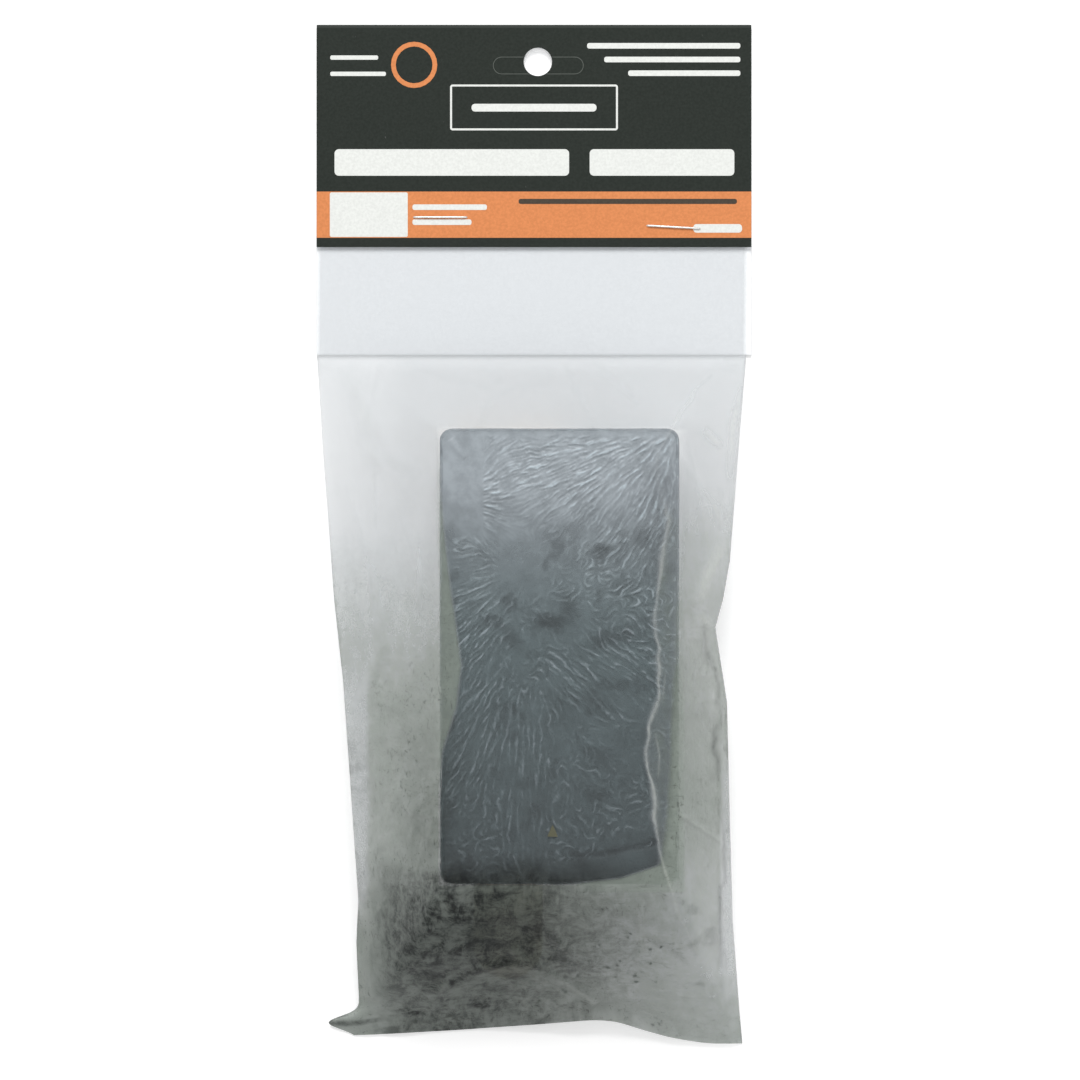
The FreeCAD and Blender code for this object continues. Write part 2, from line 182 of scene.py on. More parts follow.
def path_distance(x, y, path):
    """Distance to a path of straight runs, and how far along it the nearest point is, 0 to 1."""
    path = np.array(path, float)
    best = np.full(np.shape(x), 1e9)
    share = np.zeros(np.shape(x))
    lengths = np.linalg.norm(np.diff(path, axis=0), axis=1)
    starts = np.concatenate([[0], np.cumsum(lengths)])
    for index, length in enumerate(lengths):
        run = (path[index + 1] - path[index]) / length
        t = np.clip((x - path[index, 0]) * run[0] + (y - path[index, 1]) * run[1], 0, length)
        gap = np.hypot(x - path[index, 0] - t * run[0], y - path[index, 1] - t * run[1])
        nearer = gap < best
        best = np.where(nearer, gap, best)
        share = np.where(nearer, (starts[index] + t) / starts[-1], share)
    return best, share


def crease(x, y, path, width):
    """1 along a path, falling to 0 beside it and fading out at both its ends."""
    gap, share = path_distance(x, y, path)
    return np.exp(-((gap / width) ** 2)) * np.sqrt(np.clip(4 * share * (1 - share), 0, 1))


def blur(grid, cells):
    """Gaussian blur of a height grid, by a number of cells."""
    reach = int(3 * cells) + 1
    weights = np.exp(-0.5 * (np.arange(-reach, reach + 1) / cells) ** 2)
    weights /= weights.sum()
    for axis in (0, 1):
        pad = [(0, 0), (0, 0)]
        pad[axis] = (reach, reach)
        wide = np.pad(grid, pad, mode="edge")
        length = grid.shape[axis]
        grid = sum(
            weight * np.take(wide, range(shift, shift + length), axis=axis)
            for shift, weight in enumerate(weights)
        )
    return grid


# ---- mesh helpers -----------------------------------------------------------------------------

def link_mesh(name, points, faces, smooth=True):
    """A mesh object from points in millimetres."""
    mesh = bpy.data.meshes.new(name)
    mesh.from_pydata((np.asarray(points, float) * MM).tolist(), [], [list(f) for f in faces])
    mesh.polygons.foreach_set("use_smooth", [smooth] * len(mesh.polygons))
    mesh.update()
    piece = bpy.data.objects.new(name, mesh)
    bpy.context.collection.objects.link(piece)
    return piece


def grid_faces(rows, columns, closed=False):
    """Quads of a grid of points stored row by row; a closed grid joins its last column to its first."""
    faces = []
    for row in range(rows - 1):
        for column in range(columns if closed else columns - 1):
            beside = (column + 1) % columns
            low, high = row * columns, (row + 1) * columns
            faces.append((low + column, low + beside, high + beside, high + column))
    return faces


def grid_normals(points, closed=False):
    """Vertex normals of a grid of points."""
    along = np.gradient(points, axis=0)
    if closed:
        across = np.roll(points, -1, axis=1) - np.roll(points, 1, axis=1)
    else:
        across = np.gradient(points, axis=1)
    normals = np.cross(across, along)
    lengths = np.linalg.norm(normals, axis=2, keepdims=True)
    return normals / np.maximum(lengths, 1e-9)


def paint(piece, name, values):
    """Store one number for each vertex, for the material to read."""
    layer = piece.data.attributes.new(name, "FLOAT", "POINT")
    layer.data.foreach_set("value", np.asarray(values, float).ravel())


def edit(piece, action):
    """Run an action on the piece's bmesh."""
    work = bmesh.new()
    work.from_mesh(piece.data)
    action(work)
    work.to_mesh(piece.data)
    work.free()
    piece.data.update()


def tube(name, path, radius, around=10):
    """A round closed tube along a path of points."""
    path = np.array(path, float)
    runs = np.gradient(path, axis=0)
    runs /= np.linalg.norm(runs, axis=1, keepdims=True)
    side = np.cross(runs, (0.0, 1.0, 0.0))
    side /= np.linalg.norm(side, axis=1, keepdims=True)
    other = np.cross(runs, side)
    turns = np.linspace(0, 2 * math.pi, around, endpoint=False)
    rings = (
        path[:, None]
        + radius * np.cos(turns)[None, :, None] * side[:, None]
        + radius * np.sin(turns)[None, :, None] * other[:, None]
    )
    faces = grid_faces(len(path), around, closed=True)
    faces.append(tuple(reversed(range(around))))
    last = (len(path) - 1) * around
    faces.append(tuple(range(last, last + around)))
    piece = link_mesh(name, rings.reshape(-1, 3), faces)
    edit(piece, lambda work: bmesh.ops.recalc_face_normals(work, faces=work.faces))
    return piece


# ---- material helpers -------------------------------------------------------------------------

class Nodes:
    """Short names for the shader nodes that the materials use."""

    def __init__(self, name):
        self.material = bpy.data.materials.new(name)
        self.material.use_nodes = True
        self.tree = self.material.node_tree
        self.shader = self.tree.nodes["Principled BSDF"]
        self.place = self.tree.nodes.new("ShaderNodeTexCoord").outputs["Object"]

    def put(self, socket, value):
        """Set an input, or link it to another node's output."""
        if isinstance(value, bpy.types.NodeSocket):
            self.tree.links.new(value, socket)
        elif isinstance(value, (tuple, list)) and len(value) == 3 and socket.type == "RGBA":
            socket.default_value = (*value, 1)
        else:
            socket.default_value = value

    def math(self, operation, first, second=0.0, third=0.0):
        node = self.tree.nodes.new("ShaderNodeMath")
        node.operation = operation
        for socket, value in zip(node.inputs, (first, second, third)):
            self.put(socket, value)
        return node.outputs[0]

    def times(self, first, second):
        return self.math("MULTIPLY", first, second)

    def plus(self, first, second):
        return self.math("ADD", first, second)

    def noise(self, scale, detail=3.0, roughness=0.55, stretch=(1, 1, 1), distortion=0.0):
        """Noise with a scale in bumps per metre, drawn out along an axis by stretch."""
        mapping = self.tree.nodes.new("ShaderNodeMapping")
        mapping.inputs["Scale"].default_value = stretch
        self.tree.links.new(self.place, mapping.inputs["Vector"])
        node = self.tree.nodes.new("ShaderNodeTexNoise")
        self.tree.links.new(mapping.outputs[0], node.inputs["Vector"])
        for name, value in (
            ("Scale", scale), ("Detail", detail), ("Roughness", roughness),
            ("Distortion", distortion),
        ):
            node.inputs[name].default_value = value
        return node.outputs["Fac"]

    def cells(self, scale, feature="F1"):
        """Distance to the nearest of scattered points."""
        node = self.tree.nodes.new("ShaderNodeTexVoronoi")
        node.feature = feature
        self.tree.links.new(self.place, node.inputs["Vector"])
        node.inputs["Scale"].default_value = scale
        return node.outputs["Distance"]

    def band(self, value, low, high, bottom=0.0, top=1.0):
        """Map a value from low..high to bottom..top, smoothly and clamped."""
        node = self.tree.nodes.new("ShaderNodeMapRange")
        node.interpolation_type = "SMOOTHSTEP"
        for name, number in (
            ("Value", value), ("From Min", low), ("From Max", high),
            ("To Min", bottom), ("To Max", top),
        ):
            self.put(node.inputs[name], number)
        return node.outputs["Result"]

    def mix(self, share, first, second):
        """Blend two colours."""
        node = self.tree.nodes.new("ShaderNodeMix")
        node.data_type = "RGBA"
        self.put(node.inputs["Factor"], share)
        self.put(node.inputs["A"] if "A" in node.inputs else node.inputs[6], first)
        self.put(node.inputs[7], second)
        return node.outputs[2]

    def painted(self, name):
        """A number stored on each vertex."""
        node = self.tree.nodes.new("ShaderNodeAttribute")
        node.attribute_name = name
        return node.outputs["Fac"]

    def axis(self, letter):
        """One coordinate of the surface point, in metres."""
        node = self.tree.nodes.new("ShaderNodeSeparateXYZ")
        self.tree.links.new(self.place, node.inputs[0])
        return node.outputs[letter]

    def bump(self, height, distance, strength=1.0):
        """Relief from a height, its depth in metres."""
        node = self.tree.nodes.new("ShaderNodeBump")
        node.inputs["Distance"].default_value = distance
        node.inputs["Strength"].default_value = strength
        self.put(node.inputs["Height"], height)
        self.tree.links.new(node.outputs[0], self.shader.inputs["Normal"])

    def set(self, **values):
        """Set the shader's inputs by name, with underscores for spaces."""
        for name, value in values.items():
            self.put(self.shader.inputs[name.replace("_", " ")], value)


def srgb(red, green, blue):
    """A colour given as 0-255 display values, in linear light."""
    def linear(value):
        value /= 255
        return value / 12.92 if value <= 0.04045 else ((value + 0.055) / 1.055) ** 2.4
    return linear(red), linear(green), linear(blue)


def film_material(name):
    """Clear film with haze, grey dust, dark soot and specks where they are painted, and pale creases that
    are painted highlights.
    """
    n = Nodes(name)
    fine = n.noise(900, 4, 0.7)
    cloudy = n.noise(240, 6, 0.75, (1, 0.7, 1), 0.8)
    upright = n.noise(300, 6, 0.75, (1, 0.45, 1), 0.7)
    level = n.noise(380, 5, 0.75, (0.45, 1, 1), 0.7)
    texture = n.plus(n.times(cloudy, 0.32), n.times(upright, 0.38))
    texture = n.plus(texture, n.times(level, 0.30))
    dust = n.times(n.painted("dust"), n.band(texture, 0.40, 0.60, 0.76, 1.24))
    soot = n.times(n.painted("soot"), n.band(texture, 0.40, 0.60, 0.66, 1.28))
    both = n.plus(n.painted("dust"), n.painted("soot"))
    spots = n.band(n.noise(2000, 3, 0.6), 0.64, 0.70)
    dashes = n.band(n.noise(1300, 3, 0.6, (1, 0.35, 1), 1.0), 0.60, 0.68)
    strokes_level = n.band(n.noise(1200, 3, 0.6, (0.3, 1, 1), 1.0), 0.60, 0.68)
    specks = n.math("MAXIMUM", spots, n.math("MAXIMUM", dashes, strokes_level))
    patches = n.band(n.noise(95, 3, 0.6), 0.40, 0.56, 0.35, 1.0)
    specks = n.times(n.times(specks, patches), n.band(both, 0.02, 0.6, 0.0, 0.55))
    # pale: painted highlights along the film's creases, lighter and more opaque there
    pale = n.times(n.painted("pale"), n.band(fine, 0.3, 0.7, 0.86, 1.1))
    haze = n.painted("haze")
    soot_gap = n.math("SUBTRACT", 1.0, n.math("MINIMUM", soot, 1.0))
    under = n.times(n.plus(haze, dust), n.math("POWER", soot_gap, 1.6))
    soot_share = n.math("DIVIDE", soot, n.plus(n.plus(soot, under), 0.001))
    soot_tone = n.mix(n.band(texture, 0.42, 0.60), srgb(62, 67, 63), srgb(20, 23, 24))
    colour = n.mix(n.band(dust, 0.0, 0.4), srgb(176, 182, 186), srgb(138, 147, 139))
    colour = n.mix(soot_share, colour, soot_tone)
    colour = n.mix(specks, colour, srgb(44, 46, 41))
    # The painted crease highlights lift the colour towards near white.
    colour = n.mix(n.band(pale, 0.0, 0.8), colour, srgb(232, 235, 228))
    open_share = n.math("SUBTRACT", 1.0, haze)
    for layer in (dust, soot, specks, pale):
        gap = n.math("SUBTRACT", 1.0, n.math("MINIMUM", layer, 1.0))
        open_share = n.times(open_share, gap)
    alpha = n.math("SUBTRACT", 1.0, open_share)
    n.set(
        Base_Color=colour,
        Alpha=alpha,
        Roughness=n.band(n.painted("dust"), 0.0, 0.6, 0.24, 0.5),
        Specular_IOR_Level=0.22,
    )
    n.bump(n.noise(700, 3, 0.5), 0.00005, 0.5)
    n.material.surface_render_method = "DITHERED"
    return n.material


def wrap_material():
    """Thin clinging film: haze, which holds a painted sheen lighter towards the top, and painted
    highlights on the wrinkle crests come from the vertices; fine mottle is added here.
    """
    n = Nodes("wrap_film")
    mottle = n.noise(220, 5, 0.65)
    fine = n.noise(1500, 4, 0.7)
    # The haze holds a painted sheen, strongest at the top of the block.
    haze = n.times(n.painted("haze"), n.band(mottle, 0.3, 0.7, 0.86, 1.14))
    # Painted highlights on the wrinkle crests: more opaque and lighter there.
    crest_highlight = n.times(n.painted("crest_highlight"), n.band(fine, 0.3, 0.7, 0.7, 1.2))
    alpha = n.plus(haze, n.times(crest_highlight, 0.13))
    alpha = n.math("MINIMUM", n.math("MAXIMUM", alpha, 0.02), 0.97)
    # The tint is lighter towards the block's top, part of the painted sheen.
    base = n.mix(n.band(n.axis("Y"), -0.03, 0.012), srgb(152, 172, 176), srgb(168, 176, 182))
    tint = n.mix(n.band(crest_highlight, 0.1, 1.1), base, srgb(186, 199, 206))
    n.set(Base_Color=tint, Alpha=alpha, Roughness=0.4, Specular_IOR_Level=0.3)
    n.bump(n.noise(420, 4, 0.6, (1, 1, 1), 0.6), 0.00003, 0.3)
    return n.material


def charcoal_material():
    """Dull pressed charcoal: fine grain, small pits and greyer rubbed places."""
    n = Nodes("charcoal")
    grain = n.noise(2400, 5, 0.7)
    rubbed = n.noise(140, 4, 0.6)
    colour = n.mix(n.band(rubbed, 0.4, 0.7), srgb(13, 20, 22), srgb(24, 33, 36))
    colour = n.mix(n.band(grain, 0.6, 0.75), colour, srgb(32, 41, 44))
    n.set(Base_Color=colour, Roughness=n.band(rubbed, 0.3, 0.7, 0.75, 0.6))
    pits = n.band(n.cells(900), 0.0, 0.5)
    n.bump(n.plus(n.times(grain, 0.6), pits), 0.0001, 0.3)
    return n.material


def card_material(name, colour, rough, mottle=0.06):
    """Coated card: slight print mottle, paper fibre relief and small rubbed marks."""
    n = Nodes(name)
    cloud = n.noise(1600, 4, 0.7)
    lighter = tuple(min(1.0, c * (1 + 4 * mottle) + 0.004) for c in colour)
    darker = tuple(c * (1 - 2 * mottle) for c in colour)
    tone = n.mix(n.band(cloud, 0.3, 0.7), darker, lighter)
    scuff = n.band(n.noise(800, 5, 0.75, (1, 0.25, 1)), 0.69, 0.78, 0.0, 0.5)
    tone = n.mix(scuff, tone, tuple(0.6 * c + 0.3 for c in colour))
    n.set(Base_Color=tone, Roughness=n.band(cloud, 0.3, 0.7, rough, rough + 0.12))
    n.set(Specular_IOR_Level=0.2)
    n.bump(n.noise(5000, 3, 0.6, (1, 0.5, 1)), 0.00002, 0.6)
    return n.material


def wire_material():
    """Bright staple wire with drawn lines and a little tarnish."""
    n = Nodes("staple_wire")
    lines = n.noise(1500, 3, 0.6, (0.1, 4, 4))
    tarnish = n.noise(500, 4, 0.6)
    colour = n.mix(n.band(tarnish, 0.45, 0.7), srgb(236, 236, 233), srgb(196, 194, 188))
    n.set(Base_Color=colour, Metallic=0.6, Roughness=n.band(lines, 0.3, 0.7, 0.22, 0.42))
    n.bump(lines, 0.00001, 0.5)
    return n.material


def wood_material():
    """Bare pale wood with long grain along the paddle."""
    n = Nodes("paddle_wood")
    grain = n.noise(900, 5, 0.65, (1, 0.06, 1), 0.4)
    pores = n.noise(3000, 3, 0.6, (1, 0.05, 1))
    colour = n.mix(n.band(grain, 0.3, 0.7), srgb(206, 170, 122), srgb(168, 126, 80))
    colour = n.mix(n.band(pores, 0.62, 0.72, 0.0, 0.6), colour, srgb(112, 80, 50))
    colour = n.mix(n.band(n.noise(120, 4, 0.6), 0.45, 0.7, 0.0, 0.5), colour, srgb(70, 68, 64))
    n.set(Base_Color=colour, Roughness=0.68)
    n.bump(n.plus(grain, pores), 0.00006, 0.6)
    return n.material


def grit_material():
    """Sandpaper: packed grains over a brown glue coat."""
    n = Nodes("sandpaper")
    grains = n.cells(3800)
    patches = n.noise(160, 4, 0.6)
    colour = n.mix(n.band(grains, 0.1, 0.6), srgb(172, 132, 92), srgb(104, 70, 44))
    colour = n.mix(n.band(patches, 0.5, 0.75, 0.0, 0.55), colour, srgb(60, 56, 52))
    n.set(Base_Color=colour, Roughness=0.85)
    n.bump(n.math("SUBTRACT", 1.0, grains), 0.00015, 0.9)
    return n.material


def splinter_material():
    """A yellowish fleck of wood and glue."""
    n = Nodes("splinter")
    streak = n.noise(2000, 4, 0.6, (1, 0.2, 1))
    n.set(Base_Color=n.mix(streak, srgb(86, 84, 52), srgb(62, 62, 40)), Roughness=0.6)
    n.bump(streak, 0.00008, 0.7)
    return n.material


# ---- header card ------------------------------------------------------------------------------

CARD_THICK = 0.45
FRONT_EDGE = CARD_HIGH[1] - 52.0
BEND_STEPS = 10
HOLE_X, HOLE_Y = HOLE["pos_m"][0] / MM, HOLE["pos_m"][1] / MM
HOLE_RADIUS = HOLE["dims"]["r_mm"]


def bend(middle_y, middle_z, radius):
    """Half a circle round the fold, from the back panel to the front panel."""
    turns = np.linspace(-math.pi / 2, math.pi / 2, BEND_STEPS)
    return [(middle_y + radius * math.cos(t), middle_z + radius * math.sin(t)) for t in turns]


def bore(piece, centre, radius, low, high):
    """Cut a round hole through a closed piece."""
    bpy.ops.mesh.primitive_cylinder_add(
        vertices=48, radius=radius * MM, depth=(high - low) * MM,
        location=(centre[0] * MM, centre[1] * MM, (low + high) / 2 * MM),
    )
    cutter = bpy.context.object
    cut = piece.modifiers.new("bore", "BOOLEAN")
    cut.operation = "DIFFERENCE"
    cut.object = cutter
    cut.solver = "EXACT"
    evaluated = piece.evaluated_get(bpy.context.evaluated_depsgraph_get())
    result = bpy.data.meshes.new_from_object(evaluated)
    piece.modifiers.clear()
    piece.data = result
    bpy.data.objects.remove(cutter)


def make_card():
    """The folded card: dark print outside, white board inside and on its cut edges."""
    back, front = CARD_LOW[2], CARD_HIGH[2]
    middle = (back + front) / 2
    outer = (front - back) / 2
    fold = CARD_HIGH[1] - outer
    profile = [(CARD_LOW[1], back)]
    profile += bend(fold, middle, outer)
    profile += [(FRONT_EDGE, front), (FRONT_EDGE, front - CARD_THICK)]
    profile += reversed(bend(fold, middle, outer - CARD_THICK))
    profile += [(CARD_LOW[1], back + CARD_THICK)]
    count = len(profile)
    points = [(x, y, z) for x in (CARD_LOW[0], CARD_HIGH[0]) for y, z in profile]
    faces = [(i, (i + 1) % count, count + (i + 1) % count, count + i) for i in range(count)]
    faces += [tuple(reversed(range(count))), tuple(range(count, 2 * count))]
    card = link_mesh("header_card_folded", points, faces, smooth=False)
    bore(card, (HOLE_X, HOLE_Y), HOLE_RADIUS, back - 1, front + 1)
    card.data.materials.append(card_material("card_dark", srgb(34, 40, 35), 0.42, 0.03))
    card.data.materials.append(card_material("card_white", srgb(246, 248, 250), 0.6, 0.01))
    for face in card.data.polygons:
        y, z = face.center[1] / MM, face.center[2] / MM
        on_front = abs(z - front) < 0.02 and face.normal.z > 0.5
        on_back = abs(z - back) < 0.02 and face.normal.z < -0.5
        reach = math.hypot(y - fold, z - middle)
        on_fold = y > fold and reach > outer - 0.1 and abs(face.normal.x) < 0.5
        face.material_index = 0 if on_front or on_back or on_fold else 1
    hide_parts("header_card")
    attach(card, "header")


def outline(left, right, low, high, radius, steps=6):
    """A rectangle with rounded corners, as points anticlockwise."""
    radius = min(radius, (right - left) / 2, (high - low) / 2)
    points = []
    corners = ((right, high, 0), (left, high, 1), (left, low, 2), (right, low, 3))
    for x, y, quarter in corners:
        middle_x = x - math.copysign(radius, x - (left + right) / 2)
        middle_y = y - math.copysign(radius, y - (low + high) / 2)
        for step in range(steps + 1):
            turn = (quarter + step / steps) * math.pi / 2
            points.append(
                (middle_x + radius * math.cos(turn), middle_y + radius * math.sin(turn))
            )
    return points


INK_THICK = 0.025


def ink_plates(name, material, plates, rings=()):
    """Thin printed shapes lying on the front panel: solid plates, and rings with a line width."""
    low = CARD_HIGH[2] + 0.004
    high = low + INK_THICK
    points, faces = [], []
    for plate in plates:
        shape = outline(*plate)
        count, start = len(shape), len(points)
        points += [(x, y, z) for z in (low, high) for x, y in shape]
        faces.append(tuple(start + i for i in reversed(range(count))))
        faces.append(tuple(start + count + i for i in range(count)))
        for i in range(count):
            j = (i + 1) % count
            faces.append((start + i, start + j, start + count + j, start + count + i))
    for left, right, bottom, top, radius, line in rings:
        outside = outline(left, right, bottom, top, radius)
        inner_radius = max(radius - line, 0.01)
        inside = outline(left + line, right - line, bottom + line, top - line, inner_radius)
        count, start = len(outside), len(points)
        loops = [(outside, low), (outside, high), (inside, high), (inside, low)]
        points += [(x, y, z) for shape, z in loops for x, y in shape]
        for loop in range(4):
            one, two = start + loop * count, start + (loop + 1) % 4 * count
            for i in range(count):
                j = (i + 1) % count
                faces.append((one + i, one + j, two + j, two + i))
    piece = link_mesh(name, points, faces, smooth=False)
    piece.data.materials.append(material)
    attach(piece, "header")
    return piece


# Blank shapes in place of everything that was printed: left, right, low, high, corner radius.
BAND = (CARD_LOW[0], CARD_HIGH[0], FRONT_EDGE + 2.2, FRONT_EDGE + 13.0, 0.01)
TITLE_BARS = [(-46.6, 8.2, 83.9, 90.1, 1.0), (13.0, 46.8, 83.9, 90.1, 1.0)]
SMALL_BARS = [
    (12.4, 48.2, 113.6, 114.9, 0.5),
    (16.4, 48.2, 110.4, 111.7, 0.5),
    (22.0, 48.2, 107.2, 108.5, 0.5),
    (-47.6, -36.4, 111.0, 112.0, 0.4),
    (-47.6, -34.6, 107.2, 108.2, 0.4),
]
LABEL_BOX = (-19.6, 19.6, 94.5, 105.2, 0.6, 0.45)
LABEL_BAR = (-14.6, 14.6, 98.9, 100.7, 0.8)
BADGE = (-33.4, -22.6, 104.4, 115.2, 5.4, 1.1)
COLOUR_PATCH = (-47.7, -29.5, 69.6, 80.0, 0.4)
BAND_BARS = [(-28.4, -11.0, 75.9, 77.2, 0.5), (-28.4, -14.6, 72.4, 73.7, 0.5)]
DARK_BAR = (-3.6, 47.4, 77.3, 78.5, 0.5)
NUMBER_TAB = (37.2, 48.6, 70.6, 72.6, 0.8)
SCORE = (-9.6, 11.6, 107.6, 111.7, 2.05, 0.16)


def make_print():
    """Blank bars, boxes and a band where the card was printed; nothing is lettered."""
    white = card_material("ink_white", srgb(226, 228, 224), 0.5, 0.02)
    orange = card_material("ink_orange", srgb(214, 134, 82), 0.46, 0.03)
    dark = card_material("ink_dark", srgb(70, 62, 52), 0.45, 0.03)
    score = card_material("card_score", srgb(86, 91, 86), 0.6, 0.03)
    ink_plates("print_band", orange, [BAND])
    ink_plates("print_badge", orange, [], [BADGE])
    ink_plates("print_title_bars", white, TITLE_BARS)
    ink_plates("print_small_bars", white, SMALL_BARS)
    ink_plates("print_label_box", white, [LABEL_BAR], [LABEL_BOX])
    over_band = [
        ink_plates("print_colour_patch", white, [COLOUR_PATCH]),
        ink_plates("print_band_bars", white, BAND_BARS),
        ink_plates("print_dark_bar", dark, [DARK_BAR]),
        ink_plates("print_number_tab", white, [NUMBER_TAB]),
    ]
    for piece in over_band:
        for vertex in piece.data.vertices:
            vertex.co.z += INK_THICK * MM
    slot = ink_plates("hang_slot_score", score, [], [SCORE])
    bore(slot, (HOLE_X, HOLE_Y), HOLE_RADIUS + 0.15, 0.0, CARD_HIGH[2] + 1)


# Staples: X and Y of the middle, and how far each is turned, in degrees.
STAPLES = {"staple_left": (-21.9, 74.2, 0.0), "staple_right": (32.6, 71.9, -3.1)}
STAPLE_HALF = 6.2
WIRE = 0.25


def make_staples():
    """Round wire with a slightly bowed crown, sunk a little in the card, and two clinched legs."""
    material = wire_material()
    top = CARD_HIGH[2] + WIRE
    low = WIRE
    for name, (x, y, tilt) in STAPLES.items():
        legs = [(-1.7, low + 0.02), (-4.0, low), (-STAPLE_HALF + 0.4, low)]
        legs += [(-STAPLE_HALF + 0.08, low + 0.12), (-STAPLE_HALF, low + 0.45)]
        legs += [(-STAPLE_HALF, top - 0.45), (-STAPLE_HALF + 0.08, top - 0.12)]
        legs += [(-STAPLE_HALF + 0.4, top), (-3.5, top + 0.05), (0.0, top + 0.07)]
        legs += [(-across, up) for across, up in reversed(legs[:-1])]
        turn = math.radians(tilt)
        path = [
            (x + across * math.cos(turn), y + across * math.sin(turn), up)
            for across, up in legs
        ]
        piece = tube(name, path, WIRE, 12)
        piece.data.materials.append(material)
        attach(piece, "header")
    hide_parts("header_staples")


make_card()
make_print()
make_staples()


# ---- bag --------------------------------------------------------------------------------------

# Each list runs down the bag: Y, then the value there.
LEFT_EDGE = [
    (117.5, -50.2), (42.0, -50.7), (20.0, -49.2), (3.5, -47.9), (-15.0, -46.5), (-34.0, -44.4),
    (-57.0, -42.8), (-85.0, -40.9), (-95.0, -41.4), (-109.0, -40.9), (-119.2, -40.9),
]
RIGHT_EDGE = [
    (117.5, 50.2), (42.0, 49.6), (20.0, 47.7), (-6.0, 45.6), (-15.0, 44.0), (-21.5, 42.2),
    (-30.0, 43.5), (-39.0, 44.9), (-67.0, 45.6), (-90.0, 46.3), (-109.0, 47.8), (-119.2, 48.7),
]
EDGE_RISE = [
    (117.5, 1.25), (66.0, 1.25), (42.0, 1.3), (35.0, 4.0), (18.0, 9.0), (-22.0, 13.5),
    (-60.0, 13.0), (-88.0, 10.5), (-102.0, 6.0), (-112.0, 1.6), (-119.2, 0.6),
]
BLOCK_TOP = POUCH_HIGH[2] + 0.02
OVERHANG = 1.0
BLOCK_END = WRAP_HIGH[1] + OVERHANG
BLOCK_FOOT = WRAP_LOW[1] - OVERHANG
LEFT_SHOULDER = [
    (117.5, -48.0), (42.0, -41.8), (BLOCK_END, WRAP_LOW[0] - 0.3),
    (BLOCK_FOOT, WRAP_LOW[0] - 0.3), (-97.0, -27.0), (-111.0, -36.0), (-119.2, -38.0),
]
RIGHT_SHOULDER = [
    (117.5, 48.0), (42.0, 40.0), (BLOCK_END, WRAP_HIGH[0] + 0.3),
    (BLOCK_FOOT, WRAP_HIGH[0] + 0.3), (-97.0, 38.0), (-111.0, 43.0), (-119.2, 46.0),
]
FRONT_RISE = [
    (117.5, 1.45), (66.0, 1.45), (50.0, 1.7), (42.0, 2.3), (BLOCK_END, BLOCK_TOP),
    (BLOCK_FOOT, BLOCK_TOP), (-88.0, 30.5), (-96.0, 23.5), (-104.0, 14.5), (-110.0, 7.5),
    (-114.0, 3.6), (-119.2, 0.8),
]
# The foot seam seen from the front: X, Y and height.
FOOT_SEAM = [
    (-40.9, -117.0, 0.4), (-17.3, -115.7, 0.8), (1.4, -114.3, 2.0), (13.6, -113.2, 3.6),
    (19.2, -113.5, 4.2), (24.6, -115.4, 3.0), (32.0, -117.5, 1.4), (40.4, -118.9, 0.4),
    (48.7, -118.9, 0.4),
]
SEAM_START = -100.0
POUCH_FOOT = FOOT_LOW[1]
# The pointed ear at the lower left corner: X of its tip and its root, and its Y.
EAR_TIP = -48.0
EAR_ROOT = -40.9
EAR_ALONG = -114.0
ROW_STEP = 0.36
FRONT_COLUMNS = 300
BACK_COLUMNS = 130

# The pinched crease that runs down the film: Y, X, and how plainly it shows, in relief and in its painted
# highlight.
RIDGE = [
    (37.4, 42.0, 0.08), (34.3, 37.9, 0.22), (24.4, 31.8, 0.28), (19.0, 28.4, 0.18),
    (9.6, 29.0, 0.10), (5.1, 30.9, 0.30), (-2.6, 29.9, 0.36), (-13.0, 28.2, 0.32),
    (-20.1, 27.6, 0.38), (-28.3, 28.9, 0.38), (-37.4, 29.0, 0.36), (-43.5, 26.7, 0.42),
    (-51.9, 25.5, 0.44), (-59.4, 27.6, 0.40), (-68.0, 27.8, 0.38), (-79.0, 30.9, 0.26),
    (-87.4, 33.4, 0.16), (-99.4, 38.8, 0.06),
]
